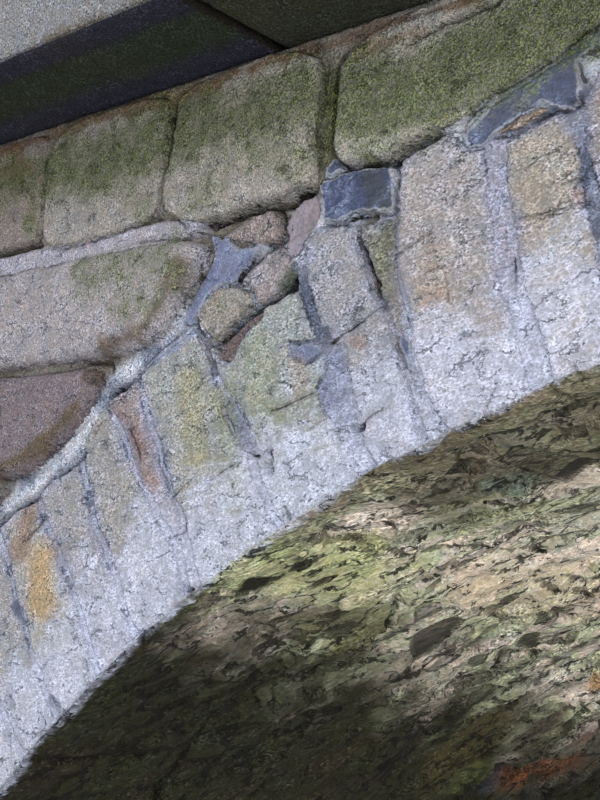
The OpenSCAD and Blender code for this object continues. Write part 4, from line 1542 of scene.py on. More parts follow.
def prismPiece(name, loop, start, end, gap, radius, axis, layout, mirrored=(False, False)):
    # draws a loop along an axis between two worn, closed ends
    outline, normals, reach = loop
    inner = outline - normals * radius
    middle = outline.mean(axis=0)
    half = np.min(np.ptp(outline, axis=0)) / 2
    rows = []
    for f in (0.10, 0.30, 0.50, 0.68, 0.84, 0.95):
        rows.append((0.0, middle + (inner - middle) * f, 0.0, np.full(len(reach), (1 - f) * half)))
    for bend in (0.0, math.pi / 6, math.pi / 3):
        rows.append((radius * (1 - math.cos(bend)),
                     outline - normals * radius * (1 - math.sin(bend)), bend, np.zeros(len(reach))))
    places, shapes, bends, edges, sides = [], [], [], [], []
    for side, order in ((-1.0, rows), (1.0, rows[::-1])):
        for inward, shape, bend, edge in order:
            places.append(start + inward if side < 0 else end - inward)
            shapes.append(shape)
            bends.append(bend)
            edges.append(edge)
            sides.append(side)
        if side < 0:
            for t in ruler([(start + radius, gap), (end - radius, None)]):
                places.append(t)
                shapes.append(outline)
                bends.append(math.pi / 2)
                edges.append(np.minimum(reach, min(t - start, end - t)))
                sides.append(0.0)
    count, columns = len(places), len(outline)
    t = np.repeat(places, columns)
    uv = np.concatenate(shapes)
    bend = np.repeat(bends, columns)
    side = np.repeat(sides, columns)
    n = np.tile(normals, (count, 1)) * np.sin(bend)[:, None]
    forward = side * np.cos(bend)
    order = [0, 1, 2] if axis == "x" else [1, 0, 2]
    points = np.stack([t, uv[:, 0], uv[:, 1]], axis=1)[:, order]
    outward = np.stack([forward, n[:, 0], n[:, 1]], axis=1)[:, order]
    fields = layout(points, outward, np.concatenate(edges))
    points, outward = orient(points, outward, *mirrored)
    return sweptObject(name, points, outward, fields, count, columns)


def wallBlock(name, corners, gaps, zLines, stones, seed, look, mirrored=(False, False)):
    # a coursed block drawn up from its plan, whose stones run on round the corners
    outline, normals, _ = roundedLoop(corners, look["round"], gaps)
    step = np.linalg.norm(outline - np.roll(outline, 1, axis=0), axis=1)
    step[0] = 0.0
    run = np.cumsum(step)
    rows, columns = len(zLines), len(outline)
    z = np.repeat(zLines, columns)
    s = np.tile(run, rows)
    plan = np.tile(outline, (rows, 1))
    points = np.stack([plan[:, 0], plan[:, 1], z], axis=1)
    n = np.tile(normals, (rows, 1))
    outward = np.stack([n[:, 0], n[:, 1], np.zeros(len(z))], axis=1)
    wall = wallLayout(s, z, stones, seed)
    patchy = ease(noise(points, 0.25, seed + 8), 0.0, 0.6)
    up = ease(z, *look["mossFrom"])
    fields = {"edge": wall["edge"], "face": wall["face"] * 0.45, "round": wall["round"],
              "bed": wall["bed"], "rough": 1.0, "groove": 0.0, "hollow": 0.0,
              "tint": wall["stoneTint"], "mortar": wall["mortar"],
              "moss": patchy * look["moss"] * (0.35 + 0.65 * up),
              "lime": (1 - up) * look["lime"] * ease(noise(points, 0.4, seed + 9), 0.0, 0.7),
              "damp": look["damp"] * (1 - ease(z, zLines[0], zLines[0] + 0.5))
              * (0.5 + 0.5 * patchy)}
    points, outward = orient(points, outward, *mirrored)
    return sweptObject(name, points, outward, fields, rows, columns)


# Materials: shared effects first, as node groups that put out colours, masks and heights

def newGroup(name, inputs, outputs, build):
    # a shader group that build fills from its inputs and the place: the inputs are numbers, or
    # vectors and colours where their values are
    group = bpy.data.node_groups.new(name, "ShaderNodeTree")
    kinds = {1: "NodeSocketFloat", 3: "NodeSocketVector", 4: "NodeSocketColor"}
    for label, value in inputs.items():
        addSocket(group, label, kinds[np.size(value)], value=value)
    for label in outputs:
        addSocket(group, label, kinds[4 if label == "Color" else 1], side="OUTPUT")
    into = addNode(group, "NodeGroupInput").outputs
    out = addNode(group, "NodeGroupOutput")
    place = addNode(group, "ShaderNodeTexCoord").outputs["Object"]
    if "Turn" in inputs:                        # drawn out along a line that leans
        place = addNode(group, "ShaderNodeMapping",
                        {"Vector": place, "Rotation": into["Turn"], "Scale": into["Drawn"]},
                        vector_type="TEXTURE").outputs[0]
    for socket, result in zip(out.inputs, build(into, place)):
        group.links.new(result, socket)
    return group


def mix(share, low, high):
    ends = [end + (1.0,) if isinstance(end, tuple) else end for end in (low, high)]
    return addNode(treeOf([share] + ends), "ShaderNodeMix", {0: share, 6: ends[0], 7: ends[1]},
                   data_type="RGBA").outputs[2]


def grainAt(place, size, detail=4.0, roughness=0.6):
    # a noise whose features measure about the given size in metres
    scale = calc("DIVIDE", 1.0, size) if isinstance(size, bpy.types.NodeSocket) else 1 / size
    return addNode(treeOf([place]), "ShaderNodeTexNoise",
                   {"Vector": place, "Scale": scale, "Detail": detail,
                    "Roughness": roughness}).outputs[0]


def levels(value, low, high, first=0.0, last=1.0):
    return addNode(treeOf([value]), "ShaderNodeMapRange",
                   {"Value": value, "From Min": low, "From Max": high, "To Min": first,
                    "To Max": last}, interpolation_type="SMOOTHSTEP").outputs[0]


def plus(*terms):
    # sum of values, each given alone or as (value, factor)
    terms = [term if isinstance(term, tuple) else (term, 1.0) for term in terms]
    total = calc("MULTIPLY", *terms[0])
    for value, factor in terms[1:]:
        total = calc("MULTIPLY_ADD", value, factor, total)
    return total


def times(first, *others):
    for other in others:
        first = calc("MULTIPLY", first, other)
    return first


def textureParts(into, place):
    # the noises that the other effects share, each about 0.5
    def moved(*shift):
        return vectorCalc("ADD", place, shift)

    blotch = grainAt(vectorCalc("MULTIPLY", place, into["Stretch"]), into["Mottle Size"], 4.0, 0.68)
    ragged = grainAt(moved(5.0, 2.0, 9.0), 0.030, 4.0, 0.74)
    jag = grainAt(moved(3.1, 7.7, 1.3), 0.009, 2.0, 0.75)
    coarse = grainAt(moved(1.7, 4.1, 2.2), times(into["Speck Size"], 2.0), 1.0, 0.8)
    grain = grainAt(place, into["Speck Size"], 1.0, 0.8)
    return blotch, ragged, jag, coarse, grain


def grainParts(into, place):
    # granular stone: blotches, drifts of hue, grains, dark pits and pale crystals
    coarse = levels(into["Coarse"], 0.39, 0.61)
    warm = vectorCalc("MULTIPLY", into["Color"], (1.05, 1.0, 0.94))
    cool = vectorCalc("MULTIPLY", into["Color"], (0.96, 1.01, 1.08))
    colour = mix(levels(plus((into["Ragged"], 0.7), (into["Coarse"], 0.3)), 0.40, 0.60), warm, cool)
    tinged = mix(levels(into["Jag"], 0.38, 0.62), (0.98, 1.01, 0.99), (1.02, 0.99, 1.00))
    colour = vectorCalc("MULTIPLY", colour, tinged)
    salt = times(levels(into["Grain"], 0.54, 0.66), levels(into["Ragged"], .40, .62), into["Salt"])
    colour = mix(salt, colour, vectorCalc("ADD", vectorCalc("SCALE", colour, 1.3),
                                          (0.16, 0.16, 0.17)))
    speck = plus((levels(into["Grain"], 0.38, 0.62), 1.3), (coarse, 0.7), (-1.0, 1.0))
    swing = plus(levels(into["Blotch"], 0.34, 0.66), levels(into["Jag"], .34, .66), (-1.0, 1.0))
    busy = levels(plus((into["Blotch"], 0.5), (into["Jag"], 0.5)), 0.38, 0.60, 0.45, 1.5)
    specks = times(busy, into["Specks"], plus((into["Smooth"], -0.9), (1.0, 1.0)))
    light = times(plus((speck, specks), (1.0, 1.0)), plus((swing, into["Mottle"]), (1.0, 1.0)))
    pits = times(levels(into["Coarse"], 0.58, 0.66), specks)
    light = times(light, plus((pits, -0.9), (1.0, 1.0)))
    height = plus((into["Grain"], 0.30), (into["Coarse"], 0.8), into["Jag"], (into["Blotch"], 2.4))
    return colour, light, height


def mossParts(into, place):
    # a film of moss, grainy and open, with tufts where it is thick
    swayed = plus(into["Amount"], (into["Ragged"], 1.9), (into["Jag"], 1.3), (-1.6, 1.0))
    mask = times(levels(swayed, 0.10, 1.00), levels(into["Amount"], 0.0, 0.25),
                 levels(into["Coarse"], 0.38, 0.58, 0.66, 0.92))
    tuft = levels(plus((into["Coarse"], 0.5), (into["Grain"], 0.5)), 0.38, 0.62)
    thick = mix(tuft, seen(66, 78, 38), seen(116, 130, 78))
    thin = mix(tuft, seen(112, 120, 84), seen(156, 164, 126))
    colour = mix(levels(plus(into["Amount"], (into["Blotch"], 0.9), (-0.45, 1.0)), 0.25, 0.85),
                 thin, thick)
    rusty = vectorCalc("MULTIPLY", colour, (1.22, 0.98, 0.72))
    colour = mix(levels(into["Ragged"], 0.54, 0.66, 0.0, 0.7), colour, rusty)
    return mask, colour, times(into["Coarse"], mask)


def veilParts(into, place):
    # a broken white veil of lime: thin, patchy and soft at its rim
    swayed = plus(into["Amount"], (into["Ragged"], 1.9), (into["Jag"], 0.5), (-1.20, 1.0))
    return (times(levels(swayed, 0.15, 1.05), levels(into["Amount"], 0.0, 0.4)),)


def edgeParts(into, place):
    # the ragged line between stone and mortar, with a dark gap where the two have parted, and
    # the cracks, from the distances that the layout stores
    jag = plus(into["Jag"], (-0.5, 1.0))
    edge = plus(into["Edge"], (jag, 0.010))
    parted = levels(into["Ragged"], 0.47, 0.60)
    line = times(levels(calc("ABSOLUTE", edge), 0.0005, 0.0022, 1.0, 0.0), parted, into["Hairline"])
    sway = plus(into["Ragged"], (-0.5, 1.0))
    away = plus(calc("ABSOLUTE", plus(into["Crack"], (sway, 5.0))), (jag, 3.2))
    faint = levels(into["Blotch"], 0.38, 0.56, 1.0, 0.60)
    crack = times(levels(away, 0.80, 1.40, 1.0, 0.0), into["Crack Dark"], faint)
    return (levels(edge, -0.0010, 0.0010), levels(edge, 0.0, 0.010), calc("MAXIMUM", line, crack),
            levels(edge, 0.0075, 0.0030), levels(edge, -0.0010, 0.0045))


def slateParts(into, place):
    # slate is mottled navy and powdery grey, with a rim of lime
    cloud = plus((into["Blotch"], 0.25), (into["Ragged"], 0.6), (into["Coarse"], 0.15),
                 (into["Rim"], 0.08))
    navy = vectorCalc("MULTIPLY", into["Color"], (0.62, 0.66, 0.80))
    slaty = mix(times(levels(cloud, 0.46, 0.64), 0.7), navy, seen(150, 162, 192))
    slaty = mix(times(into["Rim"], into["Amount"], 0.8), slaty, seen(200, 206, 220))
    return (mix(into["Amount"], into["Color"], slaty),)


def cellSpot(into, place):
    # the place shifted by the noises, so that cells have ragged sides
    warp = addNode(place.id_data, "ShaderNodeCombineXYZ",
                   {"X": into["Jag"], "Y": into["Ragged"], "Z": into["Blotch"]}).outputs[0]
    return vectorCalc("ADD", place, vectorCalc("SCALE", warp, times(into["Size"], 0.9)))


def facetParts(into, place):
    # hewn rock: small flat faces that lean each their own way
    spot = cellSpot(into, place)
    tree = place.id_data
    cell = addNode(tree, "ShaderNodeTexVoronoi",
                   {"Vector": spot, "Scale": calc("DIVIDE", 1.0, into["Size"])}).outputs
    lean = vectorCalc("SUBTRACT", cell["Color"], (0.5, 0.5, 0.5))
    offset = vectorCalc("SUBTRACT", spot, cell["Position"])
    tilt = addNode(tree, "ShaderNodeVectorMath", {0: offset, 1: lean},
                   operation="DOT_PRODUCT").outputs["Value"]
    # painted shade: each face is painted lighter or darker by the way it leans
    drawn = addNode(tree, "ShaderNodeSeparateXYZ", {"Vector": lean}).outputs[0]
    return plus((tilt, 2.0), (times(drawn, into["Size"]), 0.16)), drawn


def creviceParts(into, place):
    # short open cracks between the broken pieces of rock
    spot = cellSpot(into, place)
    away = addNode(place.id_data, "ShaderNodeTexVoronoi",
                   {"Vector": spot, "Scale": calc("DIVIDE", 1.0, into["Size"])},
                   feature="DISTANCE_TO_EDGE").outputs[0]
    width = plus((levels(into["Ragged"], 0.46, 0.62), into["Width"]), (into["Jag"], 0.0001))
    return (times(levels(calc("DIVIDE", times(away, into["Size"]), width), 0.5, 1.2, 1.0, 0.0),
                  levels(into["Ragged"], 0.47, 0.56)),)


shared = ("Blotch", "Ragged", "Jag", "Coarse", "Grain")
noises = {key: 0.5 for key in shared}
greyInput = (0.3, 0.3, 0.3, 1)
leaning = {"Turn": (0, 0, 0), "Drawn": (1, 1, 1)}
textureGroup = newGroup("stoneTextures", {"Mottle Size": 0.05, "Speck Size": 0.002,
                                          "Stretch": (1, 1, 1), **leaning}, shared, textureParts)
grainGroup = newGroup("stoneGrain", {"Color": greyInput, "Mottle": 0.3, "Specks": 0.4, "Salt": 0.3,
                                     "Smooth": 0.0, **noises},
                      ("Color", "Light", "Height"), grainParts)
mossGroup = newGroup("mossGrowth", {"Amount": 0.0, **noises},
                     ("Mask", "Color", "Height"), mossParts)
veilGroup = newGroup("limeVeil", {"Amount": 0.0, **noises}, ("Mask",), veilParts)
edgeGroup = newGroup("stoneEdges", {"Edge": 1.0, "Crack": 6.0, "Crack Dark": 0.0, "Hairline": 0.6,
                                    **noises}, ("Stone", "Shade", "Gap", "Rim", "Step"), edgeParts)
slateGroup = newGroup("slateMottle", {"Color": greyInput, "Amount": 0.0, "Rim": 0.0, **noises},
                      ("Color",), slateParts)
creviceGroup = newGroup("rockCrevices", {"Size": 0.05, "Width": 0.003, **leaning, **noises},
                        ("Mask",), creviceParts)
facetGroup = newGroup("hewnFacets", {"Size": 0.03, **leaning, **noises}, ("Height", "Shade"),
                      facetParts)


def masonryMaterial(name, look):
    # worn stone whose tint, moss, lime and hollows come from the piece's own layout
    material = bpy.data.materials.new(name)
    material.use_nodes = True
    tree = material.node_tree
    tree.nodes.clear()

    def reading(key):
        return addNode(tree, "ShaderNodeAttribute", attribute_name=key).outputs

    def group(made, plugs):
        return addNode(tree, "ShaderNodeGroup", plugs, node_tree=made).outputs

    textures = group(textureGroup, {"Mottle Size": look["mottleSize"],
                                    "Speck Size": look["speckSize"], "Stretch": look["stretch"],
                                    "Turn": look["turn"], "Drawn": look["drawn"]})
    parts = {key: textures[key] for key in shared}
    loose = look["loose"] or "ownTint" in look
    even = calc("MAXIMUM", reading("smooth")["Fac"], times(reading("slaty")["Fac"], 0.8))
    even = calc("MAXIMUM", even, times(reading("lime")["Fac"], 0.4))
    base = look["ownTint"] + (1.0,) if "ownTint" in look else reading("tint")["Color"]
    limed = reading("lime")["Fac"]
    if not loose:
        drawn = times(levels(limed, 0.2, 0.9, 1.0, 0.35), look["hairline"])
        edges = group(edgeGroup, {"Edge": reading("stoneEdge")["Fac"],
                                  "Crack": reading("crack")["Fac"],
                                  "Crack Dark": reading("crackDark")["Fac"], "Hairline": drawn,
                                  **parts})
        base = group(slateGroup, {"Color": base, "Amount": reading("slaty")["Fac"],
                                  "Rim": edges["Rim"], **parts})[0]
        base = mix(edges["Stone"], reading("mortar")["Color"], base)
    grain = group(grainGroup, {"Color": base, "Mottle": look["mottle"], "Specks": look["specks"],
                               "Salt": look["salt"], "Smooth": even, **parts})
    colour = grain["Color"]
    # the damp mask darkens the colour: real damp at the foot of the walls, painted shade on the
    # vault's dim side and under the slabs
    damp = times(reading("damp")["Fac"], look["dampShade"])
    colour = mix(damp, colour, seen(66, 60, 46))
    veil = group(veilGroup, {"Amount": limed, **parts})
    colour = mix(times(veil["Mask"], look["limeCover"]), colour, look["limeTint"])
    moss = group(mossGroup, {"Amount": reading("moss")["Fac"], **parts})
    colour = mix(moss["Mask"], colour, moss["Color"])
    light = grain["Light"]
    height = plus((grain["Height"], look["grainBump"]), (moss["Height"], 0.0022),
                  (veil["Mask"], 0.0005))
    # each facet tilts the bump, and its painted shade makes it lighter or darker by its lean
    for size, slope, shade in look["facets"]:
        facet = group(facetGroup, {"Size": size, "Turn": look["turn"], "Drawn": look["drawn"],
                                   **parts})
        height = plus((facet["Height"], slope), height)
        light = times(light, plus((facet["Shade"], shade), (1.0, 1.0)))
    open_ = reading("hollow")["Fac"]
    if not loose:
        # painted shade: each stone darkens towards its joints
        light = times(light, levels(edges["Shade"], 0.0, 1.0, look["jointShade"], 1.0))
        open_ = calc("MAXIMUM", open_, edges["Gap"])
        height = plus((edges["Gap"], -look["gapDepth"]), (edges["Step"], look["edgeStep"]), height)
    if look["crevice"]:
        crevice = group(creviceGroup, {"Size": look["crevice"], "Width": look["creviceWidth"],
                                       "Turn": look["creviceTurn"], "Drawn": look["creviceDrawn"],
                                       **parts})["Mask"]
        crevice = times(crevice, levels(reading("smooth")["Fac"], 0.8, 1.0, 1.0, 0.0))
        # painted shade: the crevices are darkened as well as sunk, on the vault as the shadow lines
        # under flake edges
        open_ = calc("MAXIMUM", open_, times(crevice, look["creviceDark"]))
        height = plus((crevice, -look["creviceWidth"]), height)
    colour = vectorCalc("SCALE", colour, light)
    # painted shade: the pores are sunk by the bump and painted dark
    pores = times(levels(parts["Coarse"], 0.64, 0.70), levels(parts["Ragged"], 0.46, 0.60),
                  look["pores"])
    colour = mix(pores, colour, seen(58, 50, 44))
    # painted shade in hollows, and the dark of open gaps and cracks, take the colour towards the
    # dark tint
    colour = mix(open_, colour, look["hollowTint"])
    height = plus((pores, -0.002), height)
    bump = addNode(tree, "ShaderNodeBump", {"Height": height, "Strength": 1.0, "Distance": 1.0})
    rough = levels(parts["Coarse"], 0.3, 0.7, look["roughness"] - 0.10, look["roughness"])
    shader = addNode(tree, "ShaderNodeBsdfPrincipled",
                     {"Base Color": colour, "Roughness": rough, "Normal": bump.outputs[0],
                      "Specular IOR Level": 0.3})
    addNode(tree, "ShaderNodeOutputMaterial", {0: shader.outputs[0]})
    return material


stoneLook = {
    "mottleSize": 0.040, "mottle": 0.26, "speckSize": 0.0028, "specks": 0.46, "salt": 0.35,
    "jointShade": 0.92, "hairline": 0.7, "dampShade": 0.8, "limeTint": seen(212, 219, 244),
    # the dark tint on the next line is for painted shade in hollows and for open gaps and cracks
    "limeCover": 0.72, "pores": 0.6, "hollowTint": seen(24, 19, 16), "grainBump": 0.0030,
    "edgeStep": 0.0025, "gapDepth": 0.0025, "roughness": 0.95, "stretch": (1, 1, 1), "loose": False,
    "turn": (0, 0, 0), "drawn": (1, 1, 1),
    "crevice": 0.036, "creviceWidth": 0.0013, "creviceDark": 0.55, "creviceTurn": (0, -0.24, 0),
    "creviceDrawn": (1.7, 1, 1),
    # the third number of each facet is how strongly it is painted lighter or darker by its lean:
    # painted shade
    "facets": [(0.026, 0.14, 0.12)],           # size, slope and change of shade
}
looks = {
    "wallStone": {},
    "ringStone": {"mottleSize": 0.032, "jointShade": 0.97, "specks": 0.40, "stretch": (1.6, 1, 0.6),
                  "turn": (0, -0.24, 0), "drawn": (1.6, 1, 1)},
    "vaultStone": {"mottleSize": 0.045, "mottle": 0.28, "speckSize": 0.0052, "specks": 0.50,
                   "turn": (0, -0.42, 0.68), "drawn": (1.8, 1, 1), "grainBump": 0.0045,
                   # its dark tint is for painted shade in pockets and under flakes
                   "jointShade": 0.8, "hollowTint": seen(24, 21, 14),
                   "hairline": 0.6, "salt": 0.25, "crevice": 0.050, "creviceWidth": 0.004,
                   "creviceDark": 0.9, "creviceTurn": (0, -0.42, 0.68), "gapDepth": 0.006,
                   "facets": [(0.055, 0.20, 0.40), (0.022, 0.22, 0.26)]},
    "abutmentStone": {"mottle": 0.28, "jointShade": 0.8},
    "springerStone": {"mottleSize": 0.06, "jointShade": 0.85},
    "parapetStone": {"mottle": 0.26},
    "slabStone": {"mottleSize": 0.02, "mottle": 0.15, "speckSize": 0.0034, "specks": 0.58,
                  "grainBump": 0.0034, "jointShade": 0.97, "hairline": 0.0, "crevice": 0,
                  "facets": []},
    "copingStone": {"mottleSize": 0.05, "specks": 0.35, "hairline": 0.0},
    "roadGravel": {"mottleSize": 0.03, "mottle": 0.3, "speckSize": 0.006, "specks": 0.4,
                   "grainBump": 0.004, "loose": True, "crevice": 0, "facets": []},
    "earthFill": {"mottleSize": 0.08, "mottle": 0.4, "specks": 0.45, "grainBump": 0.004,
                  "crevice": 0, "ownTint": seen(112, 96, 74)},
}
materials = {name: masonryMaterial(name, {**stoneLook, **change}) for name, change in looks.items()}
print("stage: materials ready")


# The arch rings, crown stones and vault

crown, foot = bridge["crownHalf"], bridge["halfAngle"]
heroAngles = angleLines([(crown, 0.012), (14.5, arch["fine"]), (46.5, 0.012), (foot, None)])
plainAngles = angleLines([(crown, arch["middling"]), (foot, None)])
crownAngles = angleLines([(-crown, arch["middling"]), (crown, None)])


def finishRing(made, node):
    finishPiece(made, materials["ringStone"], [node], archShape)
    dressUnderside(made, materials["vaultStone"])
    print("stage:", node)


for (left, front), quarter in quarters.items():
    gaps = (plainAngles, *arch["plain"])
    if quarter["measured"]:
        gaps = (heroAngles, arch["fine"], arch["fineDeep"])
    node = quarter["name"] % "ring"
    finishRing(ringPiece(f"{node}_stones", quarter, *gaps, quarters, (not left, not front)), node)
for front in (True, False):
    side = "front" if front else "back"
    made = ringPiece(f"{side}_crown_block", quarters[(True, front)], crownAngles, *arch["plain"],
                     quarters, (False, not front))
    finishRing(made, f"{side}_crown_stone")

vaultEnds = (ringBackY - 0.001, 0.001 - ringBackY)
for name, angleMarks, yMarks in (
        ("vault_left", [(12.0, 0.02), (17.0, arch["vaultFine"] * 1.06), (50.0, 0.02), (foot, None)],
         [(vaultEnds[0], arch["vaultFine"]), (-0.55, arch["vaultDeep"]), (0.65, 0.024),
          (vaultEnds[1], None)]),
        ("vault_right", [(-foot, arch["vaultPlain"] * 1.05), (12.0, None)],
         [(vaultEnds[0], arch["vaultPlain"]), (vaultEnds[1], None)])):
    made = vaultPiece(name, angleLines(angleMarks), yMarks, quarters)
    finishPiece(made, materials["vaultStone"], ["barrel"], archShape)
print("stage: vault")


# The side walls over the arch

top, foot, notch = slabZ - archZ, wallFootZ - archZ, springerTopZ - archZ
coarse, fine = sideWall["coarse"], sideWall["fine"]
for (left, front), quarter in quarters.items():
    node = quarter["name"] % "spandrel"
    sMarks = [(0.0, coarse), (-springerX, coarse), (sideWall["seam"], None)]
    hMarks = [(foot, coarse), (notch, coarse), (2.8, 0.016), (top, None)]
    if quarter["measured"]:
        sMarks[:1] = [(0.0, 0.014), (0.6, fine), (2.1, coarse)]
        hMarks[2] = (2.22, fine)
    made = spandrelPiece(f"{node}_stones", quarter, sMarks, hMarks, (not left, not front))
    finishPiece(made, materials["wallStone"], [node], archShape)
    print("stage:", node)


# Abutments, end walls and parapets

abutment = {"gap": 0.025, "courses": [(0.006, 0.190), (0.200, 0.388), (0.398, 0.594)],
            "round": 0.012, "moss": 0.35, "mossFrom": (0.1, 0.6), "lime": 0.3, "damp": 0.9}
endWall = {"gap": 0.026, "hidden": 9.0, "lastCourse": 2.522, "round": 0.012, "moss": 0.45,
           "mossFrom": (1.6, 2.5), "lime": 0.15, "damp": 0.5}
parapet = {"gap": 0.026, "round": 0.012, "moss": 0.55, "mossFrom": (3.1, 3.45), "lime": 0.25,
           "damp": 0.35,
           "courses": [(2.726, 2.902), (2.912, 3.092), (3.102, 3.284), (3.294, 3.476)]}


def runsOf(corners):
    # where the corners of a plan lie along its outline
    c = np.array(corners + [corners[0]], float)
    return list(np.cumsum(np.linalg.norm(np.diff(c, axis=0), axis=1)))


leftX = endX + sideWall["inset"]
back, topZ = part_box("end_wall_left")[1][0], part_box("end_wall_left")[1][2]
for left in (True, False):
    word = "left" if left else "right"
    plan = [(leftX, -faceY), (leftX, faceY), (passageX, faceY), (passageX, -faceY)]
    runs = runsOf(plan)
    random = np.random.default_rng(41 + left)
    rows = [(low, high, 0.0, runs[-1]) for low, high in abutment["courses"]]
    stones = coursedStones(random, rows, (0.3, 0.62), corners=runs[:-1])
    made = wallBlock(f"abutment_{word}_stones", plan, [abutment["gap"]] * 4,
                     ruler([(0.0, abutment["gap"]), (wallFootZ, None)]), stones, 410 + left,
                     abutment, (not left, False))
    finishPiece(made, materials["abutmentStone"], [f"abutment_{word}"], archShape)
    plan = [(back, wallBackY), (back, -wallBackY), (leftX, -wallBackY), (leftX, wallBackY)]
    runs = runsOf(plan)
    rows = [(low + archZ, min(high + archZ, topZ - 0.004), runs[1], runs[2]) for low,
            high in wallCourses]
    rows.append((endWall["lastCourse"], topZ - 0.004, runs[1], runs[2]))
    stones = coursedStones(random, rows, (0.26, 0.52))
    hidden = endWall["hidden"]
    made = wallBlock(f"end_wall_{word}_stones", plan, [hidden, hidden, endWall["gap"], hidden],
                     ruler([(wallFootZ, endWall["gap"]), (topZ, None)]), stones, 430 + left,
                     endWall, (not left, False))
    finishPiece(made, materials["wallStone"], [f"end_wall_{word}"], archShape)
print("stage: abutments and end walls")

low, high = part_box("front_parapet")
plan = [(-leftX, high[1]), (leftX, high[1]), (leftX, low[1]), (-leftX, low[1])]
runs = runsOf(plan)
for front in (True, False):
    word = "front" if front else "back"
    rows = [(z0, z1, 0.0, runs[-1]) for z0, z1 in parapet["courses"]]
    stones = coursedStones(np.random.default_rng(51 + front), rows, (0.28, 0.6), corners=runs[:-1],
                           reaches=(0.16, 0.2))
    made = wallBlock(f"{word}_parapet_stones", plan, [parapet["gap"]] * 4,
                     ruler([(low[2], parapet["gap"]), (high[2], None)]), stones, 450 + front,
                     parapet, (False, not front))
    finishPiece(made, materials["parapetStone"], [f"{word}_parapet"], archShape)
print("stage: parapets")


# The overhanging slabs and the coping stones

slab = {
    "fine": 0.0100, "plain": 0.036, "round": 0.012, "wear": 0.008, "fall": 0.025, "end": 0.014,
    "out": 0.230, "dripOut": 0.172,            # the nose and the drip groove, out from the wall
    # the underside colours are the green and navy growth there, darkened further as painted shade
    # under the overhang
    "fascia": seen(150, 151, 157), "under": seen(40, 50, 32), "underBlue": seen(40, 41, 60),
    "underOlive": seen(54, 58, 40),
    "green": (0.050, 0.155),                   # the green lies this far from the nose
    "top": seen(150, 148, 140),
}
blockShape = {"Lump Size": 0.05, "Lump Height": 0.0035, "Grain Size": 0.008, "Grain Height": 0.0014,
              "Chip Size": 0.03, "Edge Chips": 0.010, "Seed": 8.0}


def slabLayout(seed, inner, olive):
    # inner says on which ends, left and right, the slab meets another
    def layout(points, outward, edge):
        under = ease(-outward[:, 2], 0.5, 0.9)
        upper = ease(outward[:, 2], 0.5, 0.9)
        drift = noise(points, 0.12, seed + 1)
        tint = np.tile(slab["fascia"], (len(points), 1)) * (1 + 0.10 * drift)[:, None]
        inward = points[:, 1] - (faceY - slab["out"]) + drift * 0.012
        first, last = slab["green"]
        banded = 1 - ease(inward, first, first + 0.020) + ease(inward, last - 0.02, last + 0.03)
        below = blend(np.tile(slab["underOlive" if olive else "under"], (len(points), 1)),
                      slab["underBlue"], np.clip(banded, 0, 1) * (0.2 if olive else 0.95))
        tint = blend(blend(tint, slab["top"], upper), below, under)
        lip = (1 - ease(points[:, 2] - slabZ, 0.0, 0.035)) * (1 - under) * (1 - upper)
        tint = blend(tint, seen(120, 112, 98), lip * ease(noise(points, 0.08, seed + 3), -0.4, 0.4))
        drip = np.abs(points[:, 1] - (faceY - slab["dripOut"]) + drift * 0.002)
        groove = under * (1 - ease(drip, 0.001, 0.006)) * 0.004
        patchy = ease(noise(points, 0.16, seed + 2), 0.0, 0.6)
        # painted shade: the ends where a slab meets the next one are darkened
        shut = (inner[0] * ease(-outward[:, 0], 0.3, 0.8)
                + inner[1] * ease(outward[:, 0], 0.3, 0.8))
        tint = blend(tint, seen(60, 56, 46), shut)
        # painted shade: the drip groove and the meeting ends go dark through the hollow mask; the
        # damp mask adds patchy dark underneath, part damp and part painted shade
        return {"edge": edge, "face": -0.004, "round": 0.02, "bed": -slab["wear"], "rough": 0.8,
                "groove": groove, "tint": tint, "moss": upper * patchy * 0.7,
                "lime": (1 - under) * patchy * 0.25, "hollow": np.maximum(groove * 60, shut * 0.7),
                "damp": under * 0.2 * patchy}
    return layout


def slabLoop(box, fineness):
    low, high = box
    noseTop = high[2] - slab["fall"]
    corners = [(low[1], low[2]), (high[1], low[2]), (high[1], high[2]), (faceY, high[2]),
               (low[1], noseTop)]
    return roundedLoop(corners, slab["round"], [fineness, 0.06, fineness * 4, fineness * 2,
                                                fineness])


coping = {"plain": 0.036, "round": 0.012, "rise": 0.04, "end": 0.008, "tint": seen(150, 148, 142)}


def copingLoop(box):
    low, high = box
    half = (high[1] - low[1]) / 2
    middle = (high[1] + low[1]) / 2
    radius = (half ** 2 + coping["rise"] ** 2) / (2 * coping["rise"])
    corners = [(low[1], low[2]), (high[1], low[2])]
    for u in np.linspace(half, -half, 7):
        corners.append((middle + u, high[2] - radius + math.sqrt(radius ** 2 - u ** 2)))
    return roundedLoop(corners, coping["round"], [0.05] + [coping["plain"]] * 8)


def copingLayout(seed):
    def layout(points, outward, edge):
        upper = ease(outward[:, 2], 0.3, 0.9)
        drift = noise(points, 0.15, seed + 1)
        tint = np.tile(coping["tint"], (len(points), 1)) * (1 + 0.14 * drift)[:, None]
        patchy = ease(noise(points, 0.14, seed + 2), -0.1, 0.6)
        return {"edge": edge, "face": -0.004, "round": 0.02, "bed": -0.011, "rough": 0.9,
                "groove": 0.0, "tint": tint, "moss": patchy * (0.3 + 0.45 * upper),
                "lime": ease(noise(points, 0.2, seed + 4), 0.1, 0.7) * 0.35, "hollow": 0.0,
                "damp": (1 - upper) * 0.3 * patchy}
    return layout


